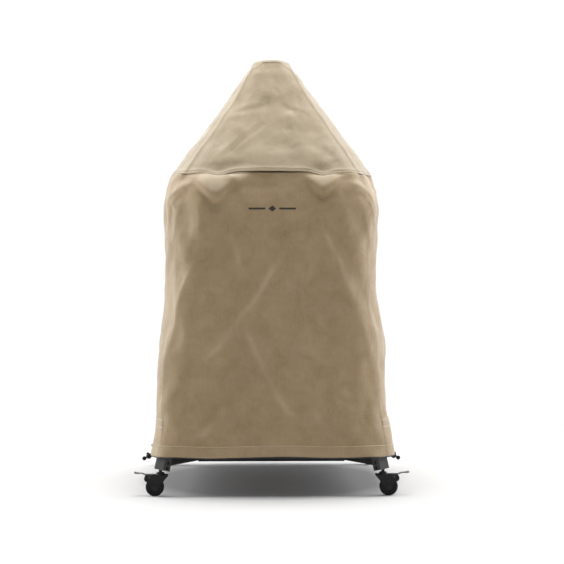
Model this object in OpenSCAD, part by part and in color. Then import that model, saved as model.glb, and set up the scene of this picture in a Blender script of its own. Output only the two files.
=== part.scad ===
// Full-length weather cover for an outdoor cooking appliance, shown on its wheeled stand.
// The cover is a four-sided canvas body with a pointed four-sided roof and a sewn crown cap.
// The stand has four splayed legs, four outriggers, a base frame, a top frame with a deck,
// and four swivel casters with foot brakes.
// Origin: centre of the footprint on the floor. +Z is up, the front faces -Y.

/* [Cover size] */
// Height of the cover's top above the floor
cover_top = 1625; // [1605:5:1680]
// Height of the hem's lower edge above the floor
hem_z = 141; // [132:1:150]
// Height of the shoulder seam between body and roof
shoulder_z = 1163; // [1150:1:1180]
// Height of the seam around the crown cap
crown_z = 1587; // [1580:1:1590]
// Half width of the hem
hem_half = 441; // [436:1:448]
// Extra half depth of the hem over its half width
hem_depth_extra = 5; // [0:1:10]
// Half width at the waist
waist_half = 389; // [386:1:396]
// Half width at the widest place under the shoulder
chest_half = 400; // [394:1:404]
// Half width at the shoulder seam
shoulder_half = 377; // [372:1:382]
// Half width at the crown seam
crown_half = 86; // [82:1:90]

/* [Fabric] */
// Thickness given to the canvas panels
cloth_t = 2.4; // [1.5:0.1:3]
// Thickness of the inner seam tapes and the hem facing
tape_t = 1.2; // [0.8:0.1:1.6]
// Height of the hem facing
hem_h = 38; // [30:1:44]
// Height of the reinforcement band on each side
band_h = 38; // [30:1:44]
// Height of the reinforcement band's lower edge
band_z = 249; // [240:1:260]

/* [Drawcord] */
// Diameter of the elastic drawcord
cord_d = 4.5; // [4:0.1:5]
// Radius of the round cord lock
lock_r = 10.8; // [10.8:0.1:11.4]
// Droop of the cord tails below level, in degrees
cord_droop = 27; // [22:1:32]
// Travel of the cord lock's button
button_travel = 3; // [2:0.5:3]

/* [Stand] */
// Distance of each swivel axis from the middle, left and right
axis_x = 400; // [392:1:402]
// Distance of each swivel axis from the middle, front and back
axis_y = 402; // [392:1:404]
// Side of the square leg tube
leg_w = 40; // [34:1:40]
// Height of the top frame's upper face
frame_top = 889; // [860:1:900]
// Azimuth of the outriggers from the front-to-back direction, in degrees
arm_turn = 34; // [30:1:38]
// Wall of the steel tubes
wall = 2; // [1.5:0.5:3]

/* [Casters] */
// Diameter of the caster wheel
wheel_d = 66; // [62:1:68]
// Distance of the wheel's axle from the swivel axis
trail = 20; // [18:1:22]
// Width of the tyre
tyre_w = 22; // [18:1:22]

/* [Hidden] */

canvas_col = [0.55, 0.48, 0.38];
canvas_light = [0.76, 0.71, 0.62];
cord_col = [0.05, 0.05, 0.05];
steel_col = [0.17, 0.17, 0.17];
leg_col = [0.33, 0.33, 0.32];
zinc_col = [0.62, 0.62, 0.60];
tyre_col = [0.11, 0.11, 0.11];

wheel_r = wheel_d / 2;
gap = 0.3;      // half the open line between two sewn panels

// Stations of the body, from hem to shoulder: height, half width, corner radius.
BODY = [
  [hem_z, hem_half, 100], [170, 436, 103], [205, 432, 107], [260, 425, 112],
  [345, 422, 120], [460, 417, 126], [520, 413, 130], [580, 406, 136], [640, 398, 142],
  [720, 392, 148], [812, waist_half, 152], [900, 393, 157], [980, 396, 162],
  [1046, chest_half, 167], [1090, 395, 175], [1128, 387, 185], [shoulder_z, shoulder_half, 195]];
// Stations of the roof, from shoulder to crown seam.
CONE = [
  [shoulder_z, shoulder_half, 195], [1241, 327, 176], [1314, 273, 155], [1386, 223, 130],
  [1459, 172, 105], [1509, 141, 88], [1541, 119, 76], [1561, 107, 70], [crown_z, crown_half, 60]];
// Stations of the crown cap.
CROWN = [
  [crown_z, crown_half, 60], [1601, 77, 56], [cover_top - 7, 65, 50], [cover_top - 1, 50, 42]];

// Half depth: a little more than the half width near the hem.
function extra(z) = hem_depth_extra * max(0, 1 - (z - hem_z) / 300);

function lerp(a, b, t) = a + (b - a) * t;
// Station of a list at any height.
function st_i(L, z, i = 0) = (i >= len(L) - 2 || z <= L[i + 1][0]) ? i : st_i(L, z, i + 1);
function st(L, z) = let (i = st_i(L, z), a = L[i], b = L[i + 1], t = (z - a[0]) / (b[0] - a[0]))
  [z, lerp(a[1], b[1], t), lerp(a[2], b[2], t)];

NA = 3;   // steps on half a corner
NS = 4;   // steps on the straight part

// One quarter of the outline, for the side facing -Y, from its left corner seam to its right one.
// w: half width along the side, d: distance of the side from the middle, r: corner radius,
// off: inward offset, cut: angle left open at the seams.
function quarter(w, d, r, off, cut = 0) = concat(
  [for (i = [0 : NA]) let (a = lerp(225 + cut, 270, i / NA))
     [-(w - r) + (r - off) * cos(a), -(d - r) + (r - off) * sin(a)]],
  [for (i = [1 : NS - 1]) [lerp(-(w - r), w - r, i / NS), -(d - off)]],
  [for (i = [0 : NA]) let (a = lerp(270, 315 - cut, i / NA))
     [(w - r) + (r - off) * cos(a), -(d - r) + (r - off) * sin(a)]]);

// Half width and half depth of side k (0 front, 1 right, 2 rear, 3 left).
function sw(s, k) = (k % 2 == 0) ? s[1] : s[1] + extra(s[0]);
function sd(s, k) = (k % 2 == 0) ? s[1] + extra(s[0]) : s[1];
function turn(p, k) = let (a = 90 * k, c = round(cos(a)), n = round(sin(a)))
  [p[0] * c - p[1] * n, p[0] * n + p[1] * c];

function side_row(s, k, off, cut) =
  [for (p = quarter(sw(s, k), sd(s, k), s[2], off, cut)) let (q = turn(p, k)) [q[0], q[1], s[0]]];
function full_row(s, off) = [for (k = [0 : 3]) let (row = side_row(s, k, off, 0))
  for (i = [0 : len(row) - 2]) row[i]];

// Open sheet between two sets of rows, given as a closed solid.
module sheet(outer, inner) {
  n = len(outer[0]);
  m = len(outer);
  pts = concat([for (r = outer) for (p = r) p], [for (r = inner) for (p = r) p]);
  o = n * m;
  faces = concat(
    [for (j = [0 : m - 2]) for (i = [0 : n - 2]) let (a = j * n + i) each
      [[a, a + n + 1, a + 1], [a, a + n, a + n + 1]]],
    [for (j = [0 : m - 2]) for (i = [0 : n - 2]) let (a = o + j * n + i) each
      [[a, a + 1, a + n + 1], [a, a + n + 1, a + n]]],
    [for (i = [0 : n - 2]) each [[i, i + 1, o + i + 1], [i, o + i + 1, o + i]]],
    [for (i = [0 : n - 2]) let (a = (m - 1) * n + i) each
      [[a, o + a + 1, a + 1], [a, o + a, o + a + 1]]],
    [for (j = [0 : m - 2]) let (a = j * n) each [[a, o + a, o + a + n], [a, o + a + n, a + n]]],
    [for (j = [0 : m - 2]) let (a = j * n + n - 1) each [[a, o + a + n, o + a], [a, a + n, o + a + n]]]);
  polyhedron(points = pts, faces = faces, convexity = 8);
}

// Closed ring between two sets of rows.
module ring(outer, inner) {
  n = len(outer[0]);
  m = len(outer);
  pts = concat([for (r = outer) for (p = r) p], [for (r = inner) for (p = r) p]);
  o = n * m;
  faces = concat(
    [for (j = [0 : m - 2]) for (i = [0 : n - 1]) let (a = j * n + i, b = j * n + (i + 1) % n) each
      [[a, b + n, b], [a, a + n, b + n]]],
    [for (j = [0 : m - 2]) for (i = [0 : n - 1]) let (a = o + j * n + i, b = o + j * n + (i + 1) % n) each
      [[a, b, b + n], [a, b + n, a + n]]],
    [for (i = [0 : n - 1]) let (b = (i + 1) % n) each [[i, b, o + b], [i, o + b, o + i]]],
    [for (i = [0 : n - 1]) let (a = (m - 1) * n + i, b = (m - 1) * n + (i + 1) % n) each
      [[a, o + b, b], [a, o + a, o + b]]]);
  polyhedron(points = pts, faces = faces, convexity = 8);
}

function cutof(s) = gap / s[2] * 57.3;

// ---- cover panels ----
module body_panel(k) {
  rows = [for (i = [0 : len(BODY) - 1]) i == len(BODY) - 1 ? st(BODY, shoulder_z - gap) : BODY[i]];
  color(canvas_col) sheet([for (s = rows) side_row(s, k, 0, cutof(s))],
    [for (s = rows) side_row(s, k, cloth_t, cutof(s))]);
}
module cone_panel(k) {
  rows = [for (i = [0 : len(CONE) - 1])
    i == 0 ? st(CONE, shoulder_z + gap) : i == len(CONE) - 1 ? st(CONE, crown_z - gap) : CONE[i]];
  color(canvas_light) sheet([for (s = rows) side_row(s, k, 0, cutof(s))],
    [for (s = rows) side_row(s, k, cloth_t, cutof(s))]);
}
module body_front() body_panel(0);
module body_right() body_panel(1);
module body_rear() body_panel(2);
module body_left() body_panel(3);
module cone_front() cone_panel(0);
module cone_right() cone_panel(1);
module cone_rear() cone_panel(2);
module cone_left() cone_panel(3);

module crown_cap() {
  n = 4 * (2 * NA + NS);
  rows = [for (i = [0 : len(CROWN) - 1]) let (s = CROWN[i]) i == 0 ? [s[0] + gap, s[1], s[2]] : s];
  outer = [for (s = rows) full_row(s, 0)];
  inner = [for (s = rows) full_row([s[0] - (s[0] > 1600 ? cloth_t * 0.8 : 0), s[1], s[2]], cloth_t)];
  m = len(rows);
  o = n * m;
  pts = concat([for (r = outer) for (p = r) p], [for (r = inner) for (p = r) p],
    [[0, 0, cover_top], [0, 0, cover_top - cloth_t]]);
  faces = concat(
    [for (j = [0 : m - 2]) for (i = [0 : n - 1]) let (a = j * n + i, b = j * n + (i + 1) % n) each
      [[a, b + n, b], [a, a + n, b + n]]],
    [for (j = [0 : m - 2]) for (i = [0 : n - 1]) let (a = o + j * n + i, b = o + j * n + (i + 1) % n) each
      [[a, b, b + n], [a, b + n, a + n]]],
    [for (i = [0 : n - 1]) let (b = (i + 1) % n) each [[i, b, o + b], [i, o + b, o + i]]],
    [for (i = [0 : n - 1]) let (a = (m - 1) * n + i, b = (m - 1) * n + (i + 1) % n) [2 * o, b, a]],
    [for (i = [0 : n - 1]) let (a = o + (m - 1) * n + i, b = o + (m - 1) * n + (i + 1) % n) [2 * o + 1, a, b]]);
  color(canvas_light) polyhedron(points = pts, faces = faces, convexity = 8);
}

// ---- seam tapes, just inside the panels ----
ti = cloth_t + 0.2;
to = cloth_t + 0.2 + tape_t;

crown_rows = [st(CONE, crown_z - 12), st(CONE, crown_z), st(CROWN, crown_z + 8)];
shoulder_rows = [st(BODY, shoulder_z - 13), st(BODY, shoulder_z), st(CONE, shoulder_z + 12)];
// The cap closes in fast above its seam, so the binding leans further inwards there.
function crown_in(s) = s[0] > crown_z ? 1.4 : 0;
module crown_binding() color(canvas_light)
  ring([for (s = crown_rows) full_row(s, ti + crown_in(s))],
    [for (s = crown_rows) full_row(s, to + crown_in(s))]);

module shoulder_binding() color(canvas_light)
  ring([for (s = shoulder_rows) full_row(s, ti)],
    [for (s = shoulder_rows) full_row(s, to)]);

// The band turned up inside the hem; the drawcord runs along its lower fold.
module hem_band() color(canvas_col)
  ring([for (z = [hem_z, 170, hem_z + hem_h]) full_row(st(BODY, z), ti)],
    [for (z = [hem_z, 170, hem_z + hem_h]) full_row(st(BODY, z), to)]);

// Strip centred on the corner seam between side k and side k + 1.
function corner_strip(s, k, off) = let (a = side_row(s, k, off, 0), b = side_row(s, (k + 1) % 4, off, 0),
  n = len(a), e = 0.5)
  [a[n - 2] * e + a[n - 1] * (1 - e), a[n - 1], b[0] * (1 - e) + b[1] * e];

module corner_tapes() color(canvas_col) {
  rows = concat([st(BODY, hem_z + hem_h + 1)], [for (s = BODY) if (s[0] > 220 && s[0] < shoulder_z - 20) s],
    [st(BODY, shoulder_z - 15)]);
  for (k = [0 : 3])
    sheet([for (s = rows) corner_strip(s, k, ti)], [for (s = rows) corner_strip(s, k, to)]);
}
module ridge_tapes() color(canvas_light) {
  rows = concat([st(CONE, shoulder_z + 14)], [for (s = CONE) if (s[0] > shoulder_z + 20 && s[0] < crown_z - 20) s],
    [st(CONE, crown_z - 14)]);
  for (k = [0 : 3])
    sheet([for (s = rows) corner_strip(s, k, ti)], [for (s = rows) corner_strip(s, k, to)]);
}

// Reinforcement band sewn across the outside of each side panel.
module side_bands() color(canvas_col) {
  rows = [for (z = [band_z, 260, band_z + band_h]) st(BODY, z)];
  for (k = [1, 3]) sheet(
    [for (s = rows) let (r = side_row(s, k, -0.1 - tape_t, 0)) [for (i = [1 : len(r) - 2]) r[i]]],
    [for (s = rows) let (r = side_row(s, k, -0.1, 0)) [for (i = [1 : len(r) - 2]) r[i]]]);
}

// ---- drawcord ----
cord_y = -300;
cord_x = hem_half - 7;
cord_z = hem_z - 3;
sl = [cos(cord_droop), sin(cord_droop)];

// Ring of cord lying in the fold under the hem edge, all the way round.
module hem_drawcord() {
  s = [hem_z - cord_d / 2 - 0.15, hem_half, BODY[0][2]];
  path = full_row(s, cloth_t / 2 + 0.6);
  n = len(path);
  m = 8;
  pts = [for (i = [0 : n - 1]) let (
      p = path[i], q = path[(i + 1) % n], o = path[(i + n - 1) % n],
      t = [q[0] - o[0], q[1] - o[1]], l = norm(t), nx = [t[1] / l, -t[0] / l])
    for (j = [0 : m - 1]) let (a = 360 * j / m)
      [p[0] + nx[0] * cord_d / 2 * cos(a), p[1] + nx[1] * cord_d / 2 * cos(a), p[2] + cord_d / 2 * sin(a)]];
  color(cord_col) difference() {
    polyhedron(points = pts, convexity = 8, faces = [for (i = [0 : n - 1]) for (j = [0 : m - 1])
      let (a = i * m + j, b = i * m + (j + 1) % m, c = ((i + 1) % n) * m + j, d = ((i + 1) % n) * m + (j + 1) % m)
      each [[a, b, d], [a, d, c]]]);
    for (sx = [-1, 1]) translate([sx * hem_half, cord_y, s[0]]) cube([24, 24, 12], center = true);
  }
}

// Frame of a cord tail: its own +X runs out along the tail, origin at the eyelet's inner mouth.
module tail_frame(side) {
  if (side < 0) mirror([1, 0, 0]) translate([cord_x, cord_y, cord_z]) rotate([0, cord_droop, 0]) children();
  else translate([cord_x, cord_y, cord_z]) rotate([0, cord_droop, 0]) children();
}
lock_s = 17;    // distance of the lock's centre along the tail
end_s = 36;     // distance of the end bead's centre
module along_x() rotate([0, 90, 0]) children();

module cord_eyelets() color(cord_col) for (side = [-1, 1]) tail_frame(side) along_x() difference() {
  union() {
    translate([0, 0, -2]) cylinder(h = 7.6, r = 4.2, $fn = 32);
    translate([0, 0, 3.6]) cylinder(h = 2, r = 5.4, $fn = 32);
  }
  translate([0, 0, -3]) cylinder(h = 12, r = cord_d / 2 + 0.05, $fn = 32);
}
module cord_tail(side) color(cord_col) tail_frame(side) along_x()
  translate([0, 0, -1]) cylinder(h = end_s + 4, r = cord_d / 2, $fn = 32);
module cord_tail_left() cord_tail(-1);
module cord_tail_right() cord_tail(1);

module cord_end(side) color(cord_col) tail_frame(side) along_x() difference() {
  rotate_extrude($fn = 48) polygon([[0, end_s - 7.6], [3.6, end_s - 7.6], [5.2, end_s - 6.6], [7.2, end_s - 3],
    [7.8, end_s + 0.6], [7.2, end_s + 4], [5, end_s + 6.8], [0, end_s + 7.8]]);
  translate([0, 0, end_s - 9]) cylinder(h = 12.05, r = cord_d / 2 + 0.02, $fn = 32);
}
module cord_end_left() cord_end(-1);
module cord_end_right() cord_end(1);

button_r = 4.8;
module cord_lock(side) color(cord_col) tail_frame(side) translate([lock_s, 0, 0]) difference() {
  sphere(r = lock_r, $fn = 64);
  along_x() translate([0, 0, -lock_r - 1]) cylinder(h = 2 * lock_r + 2, r = cord_d / 2 + 0.35, $fn = 32);
  translate([0, 0, -9.2]) cylinder(h = 30, r = button_r + 0.08, $fn = 48);
}
module cord_lock_left() cord_lock(-1);
module cord_lock_right() cord_lock(1);

module lock_button(side) color(cord_col) tail_frame(side) translate([lock_s, 0, 0]) difference() {
  union() {
    translate([0, 0, -5.8]) cylinder(h = lock_r + 5.8 + 2, r = button_r, $fn = 48);
    translate([0, 0, lock_r + 2]) cylinder(h = 1.4, r1 = button_r, r2 = button_r - 1.2, $fn = 48);
  }
  hull() {
    along_x() translate([0, 0, -8]) cylinder(h = 16, r = cord_d / 2 + 0.35, $fn = 32);
    translate([0, 0, button_travel + 0.2]) along_x() translate([0, 0, -8]) cylinder(h = 16, r = cord_d / 2 + 0.35, $fn = 32);
  }
}
module lock_button_left() lock_button(-1);
module lock_button_right() lock_button(1);

// ---- stand ----
base_x = 270;       // outer half width of the base frame
base_y = 275;       // outer half depth of the base frame
base_z = 106;       // underside of the base frame and outriggers
lean_x = 0.20;      // inward lean of the legs per unit of height, left to right
lean_y = 0.14;      // inward lean of the legs per unit of height, front to back
foot_x = axis_x - 5;  // distance of each leg's lower end from the middle, left and right
foot_y = axis_y - 2;  // the same, front and back
foot_z = 92;        // height of the middle of each leg's lower end
top_x = 272;        // outer half width of the top frame
top_y = 318;        // outer half depth of the top frame
lean = atan(sqrt(lean_x * lean_x + lean_y * lean_y));
lean_az = atan2(lean_y, lean_x);

module tube_x(l, w, h) difference() {
  cube([l, w, h], center = true);
  cube([l + 2, w - 2 * wall, h - 2 * wall], center = true);
}
module tube_y(l, w, h) difference() {
  cube([w, l, h], center = true);
  cube([w - 2 * wall, l + 2, h - 2 * wall], center = true);
}
module base_cross_rails() color(steel_col) for (s = [-1, 1])
  translate([0, s * (base_y - 15), base_z + 17]) tube_x(2 * base_x, 30, 34);
module base_side_rails() color(steel_col) for (s = [-1, 1])
  translate([s * (base_x - 15), 0, base_z + 17]) tube_y(2 * base_y - 60.2, 30, 34);

// A corner's parts are made at front left and mirrored to the other three corners.
module corner(sx, sy) {
  mirror([sx > 0 ? 1 : 0, 0, 0]) mirror([0, sy > 0 ? 1 : 0, 0]) children();
}
module leg_frame() translate([-foot_x, -foot_y, foot_z])
  rotate([0, 0, lean_az]) rotate([0, lean, 0]) rotate([0, 0, 90 - arm_turn - lean_az]) children();

module leg(sx, sy) color(leg_col) corner(sx, sy) difference() {
  leg_frame() difference() {
    translate([-leg_w / 2, -leg_w / 2, 0]) cube([leg_w, leg_w, 820]);
    translate([-leg_w / 2 + wall, -leg_w / 2 + wall, 26]) cube([leg_w - 2 * wall, leg_w - 2 * wall, 900]);
  }
  translate([-500, -500, frame_top - 40]) cube([500, 500, 100]);
  translate([-axis_x, -axis_y, 60]) cylinder(h = 52, r = 6.02, $fn = 48);
}
module leg_front_left() leg(-1, -1);
module leg_front_right() leg(1, -1);
module leg_rear_left() leg(-1, 1);
module leg_rear_right() leg(1, 1);

// Two button-head bolts on the inner flank of each leg's foot.
module leg_bolts() color(tyre_col) for (sx = [-1, 1]) for (sy = [-1, 1]) corner(sx, sy) leg_frame()
  for (z = [9, 28]) translate([2, -leg_w / 2, z]) rotate([90, 0, 0]) difference() {
    union() {
      cylinder(h = 1.2, r = 7, $fn = 32);
      translate([0, 0, 1.2]) cylinder(h = 2.6, r1 = 5.2, r2 = 3.6, $fn = 32);
    }
    translate([0, 0, 2]) cylinder(h = 4, r = 2.3, $fn = 6);
  }

// Outrigger from the base frame's corner to the leg.
module arm(sx, sy) color(steel_col) corner(sx, sy) difference() {
  translate([-foot_x, -foot_y, base_z + 17]) translate([lean_x * 31, lean_y * 31, 0])
    rotate([0, 0, 90 - arm_turn]) translate([leg_w / 2 - 10, -14, -17]) difference() {
      cube([230, 28, 34]);
      translate([-1, wall, wall]) cube([240, 28 - 2 * wall, 34 - 2 * wall]);
    }
  translate([-base_x, -base_y, 50]) cube([600, 600, 200]);
  leg_frame() translate([-leg_w / 2 - 20, -leg_w / 2, -20]) cube([leg_w + 20, leg_w, 200]);
}
module arm_front_left() arm(-1, -1);
module arm_front_right() arm(1, -1);
module arm_rear_left() arm(-1, 1);
module arm_rear_right() arm(1, 1);

// Four tubes under the deck, end to side at the corners.
module top_frame() color(steel_col) {
  for (s = [-1, 1]) translate([0, s * (top_y - 20), frame_top - 20]) tube_x(2 * top_x, 40, 40);
  for (s = [-1, 1]) translate([s * (top_x - 20), 0, frame_top - 20]) tube_y(2 * top_y - 80.2, 40, 40);
}
module deck() color(steel_col) difference() {
  translate([-290, -325, frame_top]) cube([580, 650, 3]);
  for (sx = [-1, 1]) for (sy = [-1, 1]) translate([sx * 200, sy * 240, frame_top - 1]) cylinder(h = 6, r = 4.25, $fn = 48);
}

// Threaded studs that hold the casters: a shank in the leg, a collar, the swivel pin and its head.
module caster_studs() color(zinc_col) for (sx = [-1, 1]) for (sy = [-1, 1])
  translate([sx * axis_x, sy * axis_y, 0]) {
    translate([0, 0, 68.4]) cylinder(h = 2.9, r = 8, $fn = 48);
    translate([0, 0, 68.4]) cylinder(h = 14.5, r = 5, $fn = 48);
    translate([0, 0, 82.3]) cylinder(h = 2.5, r = 13, $fn = 48);
    translate([0, 0, 82.3]) cylinder(h = 28, r = 6, $fn = 48);
  }

// ---- casters: local +X is the trailing direction, outwards at rest ----
module caster(sx, sy) translate([sx * axis_x, sy * axis_y, 0]) mirror([sx < 0 ? 1 : 0, 0, 0]) children();
plate_y = tyre_w / 2 + 2;
hinge_x = 39;
hinge_z = 69;

module fork(sx, sy) color(steel_col) caster(sx, sy) difference() {
  union() {
    for (s = [-1, 1]) translate([0, s > 0 ? plate_y + 2.5 : -plate_y, 0]) rotate([90, 0, 0]) linear_extrude(height = 2.5)
      polygon([[-27, 77], [-27, 72], [-12, 54], [2, 31], [10, 23], [20, 20], [30, 23], [34.5, 32], [37, 44], [56, 56],
        [58, 62], [56, 72], [50, 75], [30, 75], [22, 77]]);
    translate([-27, -plate_y - 0.1, 71.6]) cube([44, 2 * plate_y + 0.2, 5.4]);
    translate([0, 0, 77]) cylinder(h = 2.4, r1 = 19, r2 = 17, $fn = 48);
    translate([0, 0, 79.4]) cylinder(h = 2.6, r = 14.5, $fn = 48);
  }
  translate([0, 0, 60]) cylinder(h = 30, r = 5.06, $fn = 48);
  translate([trail, 40, wheel_r]) rotate([90, 0, 0]) cylinder(h = 80, r = 4.02, $fn = 48);
  translate([hinge_x, 40, hinge_z]) rotate([90, 0, 0]) cylinder(h = 80, r = 2.56, $fn = 32);
}
module fork_front_left() fork(-1, -1);
module fork_front_right() fork(1, -1);
module fork_rear_left() fork(-1, 1);
module fork_rear_right() fork(1, 1);

module axle(sx, sy) color(zinc_col) caster(sx, sy) translate([trail, 0, wheel_r]) rotate([90, 0, 0]) {
  translate([0, 0, -plate_y - 4.5]) cylinder(h = 2 * plate_y + 9, r = 4, $fn = 48);
  translate([0, 0, plate_y + 2.5]) cylinder(h = 3, r = 6.5, $fn = 48);
  translate([0, 0, -plate_y - 6.5]) cylinder(h = 4, r = 6.5, $fn = 6);
}
module axle_front_left() axle(-1, -1);
module axle_front_right() axle(1, -1);
module axle_rear_left() axle(-1, 1);
module axle_rear_right() axle(1, 1);

rim_r = 22;
module hub(sx, sy) color(tyre_col) caster(sx, sy) translate([trail, 0, wheel_r]) rotate([90, 0, 0]) rotate_extrude($fn = 72)
  polygon([[4.06, -11.6], [8, -11.6], [9, -8], [17, -7], [19.5, -9.5], [rim_r, -9.5], [rim_r, 9.5], [19.5, 9.5],
    [17, 7], [9, 8], [8, 11.6], [4.06, 11.6]]);
module hub_front_left() hub(-1, -1);
module hub_front_right() hub(1, -1);
module hub_rear_left() hub(-1, 1);
module hub_rear_right() hub(1, 1);

module tyre(sx, sy) color(tyre_col) caster(sx, sy) translate([trail, 0, wheel_r]) rotate([90, 0, 0]) rotate_extrude($fn = 96)
  polygon([[rim_r + 0.02, -tyre_w / 2 + 1], [wheel_r - 5, -tyre_w / 2], [wheel_r - 1.6, -tyre_w / 2 + 1.4],
    [wheel_r, -tyre_w / 2 + 5], [wheel_r, tyre_w / 2 - 5], [wheel_r - 1.6, tyre_w / 2 - 1.4],
    [wheel_r - 5, tyre_w / 2], [rim_r + 0.02, tyre_w / 2 - 1]]);
module tyre_front_left() tyre(-1, -1);
module tyre_front_right() tyre(1, -1);
module tyre_rear_left() tyre(-1, 1);
module tyre_rear_right() tyre(1, 1);

// Foot brake: bent tread, two ears, hinge pin and the shoe above the tyre.
module brake(sx, sy) color(zinc_col) caster(sx, sy) {
  translate([0, 9, 0]) rotate([90, 0, 0]) linear_extrude(height = 18)
    polygon([[26, 76.2], [56, 76.2], [66, 80.4], [78, 81], [78, 83], [65, 82.4], [55, 78.4], [26, 78.4]]);
  translate([0, 16, 0]) rotate([90, 0, 0]) linear_extrude(height = 32)
    polygon([[78, 81], [88, 81.6], [94, 84.4], [93, 86.2], [87.4, 83.6], [78, 83]]);
  for (s = [-1, 1]) translate([0, s > 0 ? 9 : -6.5, 0]) rotate([90, 0, 0]) linear_extrude(height = 2.5)
    polygon([[34, 66], [44, 66], [48, 77], [30, 77]]);
  translate([hinge_x, plate_y + 3.5, hinge_z]) rotate([90, 0, 0]) cylinder(h = 2 * plate_y + 7, r = 2.5, $fn = 32);
}
module brake_front_left() brake(-1, -1);
module brake_front_right() brake(1, -1);
module brake_rear_left() brake(-1, 1);
module brake_rear_right() brake(1, 1);

crown_cap();
crown_binding();
cone_front();
cone_right();
cone_rear();
cone_left();
ridge_tapes();
shoulder_binding();
body_front();
body_right();
body_rear();
body_left();
corner_tapes();
hem_band();
side_bands();
cord_eyelets();
hem_drawcord();
cord_tail_left();
cord_tail_right();
cord_end_left();
cord_end_right();
cord_lock_left();
cord_lock_right();
lock_button_left();
lock_button_right();
base_cross_rails();
base_side_rails();
arm_front_left();
arm_front_right();
arm_rear_left();
arm_rear_right();
leg_front_left();
leg_front_right();
leg_rear_left();
leg_rear_right();
leg_bolts();
top_frame();
deck();
caster_studs();
fork_front_left();
fork_front_right();
fork_rear_left();
fork_rear_right();
axle_front_left();
axle_front_right();
axle_rear_left();
axle_rear_right();
hub_front_left();
hub_front_right();
hub_rear_left();
hub_rear_right();
tyre_front_left();
tyre_front_right();
tyre_rear_left();
tyre_rear_right();
brake_front_left();
brake_front_right();
brake_rear_left();
brake_rear_right();
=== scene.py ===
"""Weather cover for an outdoor cooking appliance on its wheeled stand.

The CAD model is the frame. The cloth, cord, stitching and print are built here as fine
meshes round the CAD solids; the steel, casters and cord fittings keep their CAD shapes.
Lengths inside the shape functions are in millimetres and become metres in mesh_object().
"""
import json
import math

import bpy
import numpy as np
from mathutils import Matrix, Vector


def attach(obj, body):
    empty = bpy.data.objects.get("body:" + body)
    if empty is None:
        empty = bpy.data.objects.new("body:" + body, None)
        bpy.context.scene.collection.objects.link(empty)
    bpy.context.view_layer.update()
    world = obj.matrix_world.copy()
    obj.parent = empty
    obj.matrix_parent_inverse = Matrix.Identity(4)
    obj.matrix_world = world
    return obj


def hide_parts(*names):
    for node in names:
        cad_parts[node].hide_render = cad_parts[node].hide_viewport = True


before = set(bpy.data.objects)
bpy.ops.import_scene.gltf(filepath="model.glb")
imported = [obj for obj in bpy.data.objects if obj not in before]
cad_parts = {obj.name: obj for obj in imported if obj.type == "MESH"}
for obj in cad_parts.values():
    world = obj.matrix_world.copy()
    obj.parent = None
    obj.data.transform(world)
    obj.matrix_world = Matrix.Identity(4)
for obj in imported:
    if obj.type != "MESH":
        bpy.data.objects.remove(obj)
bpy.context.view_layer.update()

# ------------------------------------------------------------------ camera
cam_data = bpy.data.cameras.new("camera")
cam_data.lens = 85
cam_data.sensor_width = 36
cam_data.clip_start, cam_data.clip_end = 0.05, 200
cam = bpy.data.objects.new("camera", cam_data)
bpy.context.scene.collection.objects.link(cam)
cam.location = (-0.0768, -5.1896, 0.7677)
cam.rotation_euler = (math.pi / 2, 0, math.radians(-1.35))
bpy.context.scene.camera = cam

# ------------------------------------------------------------------ shape of the cover
HEM, SHOULDER, CROWN_Z, TOP = 141.0, 1163.0, 1587.0, 1625.0
BODY = [
    [141, 441, 100], [170, 436, 103], [205, 432, 107], [260, 425, 112],
    [345, 422, 120], [460, 417, 126], [520, 413, 130], [580, 406, 136], [640, 398, 142],
    [720, 392, 148], [812, 389, 152], [900, 393, 157], [980, 396, 162],
    [1046, 400, 167], [1090, 395, 175], [1128, 387, 185], [1163, 377, 195]]
ROOF = [
    [1163, 377, 195], [1241, 327, 176], [1314, 273, 155], [1386, 223, 130],
    [1459, 172, 105], [1509, 141, 88], [1541, 119, 76], [1561, 107, 70], [1587, 86, 60],
    [1601, 77, 56], [1618, 65, 50], [1624, 50, 42]]


def pchip(xs, ys):
    """A smooth curve through the points that doesn't overshoot, and its slope."""
    x, y = np.array(xs, float), np.array(ys, float)
    h = np.diff(x)
    d = np.diff(y) / h
    m = np.zeros_like(y)
    for i in range(1, len(x) - 1):
        if d[i - 1] * d[i] > 0:
            a, b = 2 * h[i] + h[i - 1], h[i] + 2 * h[i - 1]
            m[i] = (a + b) / (a / d[i - 1] + b / d[i])
    m[0], m[-1] = d[0], d[-1]

    def value(q):
        q0 = np.asarray(q, float)
        q = np.clip(q0, x[0], x[-1])
        i = np.clip(np.searchsorted(x, q, side="right") - 1, 0, len(h) - 1)
        t = (q - x[i]) / h[i]
        v = ((1 + 2 * t) * (1 - t) ** 2 * y[i] + t * (1 - t) ** 2 * h[i] * m[i]
             + t * t * (3 - 2 * t) * y[i + 1] + t * t * (t - 1) * h[i] * m[i + 1])
        # straight on past the ends
        return v + np.minimum(q0 - x[0], 0) * m[0] + np.maximum(q0 - x[-1], 0) * m[-1]

    def slope(q):
        return value(np.asarray(q, float) + 0.5) - value(np.asarray(q, float) - 0.5)

    return value, slope


BW, BW_ = pchip([s[0] for s in BODY], [s[1] for s in BODY])
BR, _ = pchip([s[0] for s in BODY], [s[2] for s in BODY])
RW, RW_ = pchip([s[0] for s in ROOF], [s[1] for s in ROOF])
RR, _ = pchip([s[0] for s in ROOF], [s[2] for s in ROOF])


def sizes(k, z, top):
    """Half width along side k, its distance from the middle, and the corner radius."""
    w, r = (RW(z), RR(z)) if top else (BW(z), BR(z))
    e = 5 * np.maximum(0, 1 - (z - HEM) / 300)
    return (w, w + e, r) if k % 2 == 0 else (w + e, w, r)


def half(k, z, top):
    """Length along the cloth from the middle of side k to its corner seam."""
    w, _, r = sizes(k, z, top)
    return (w - r) + r * math.pi / 4


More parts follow.
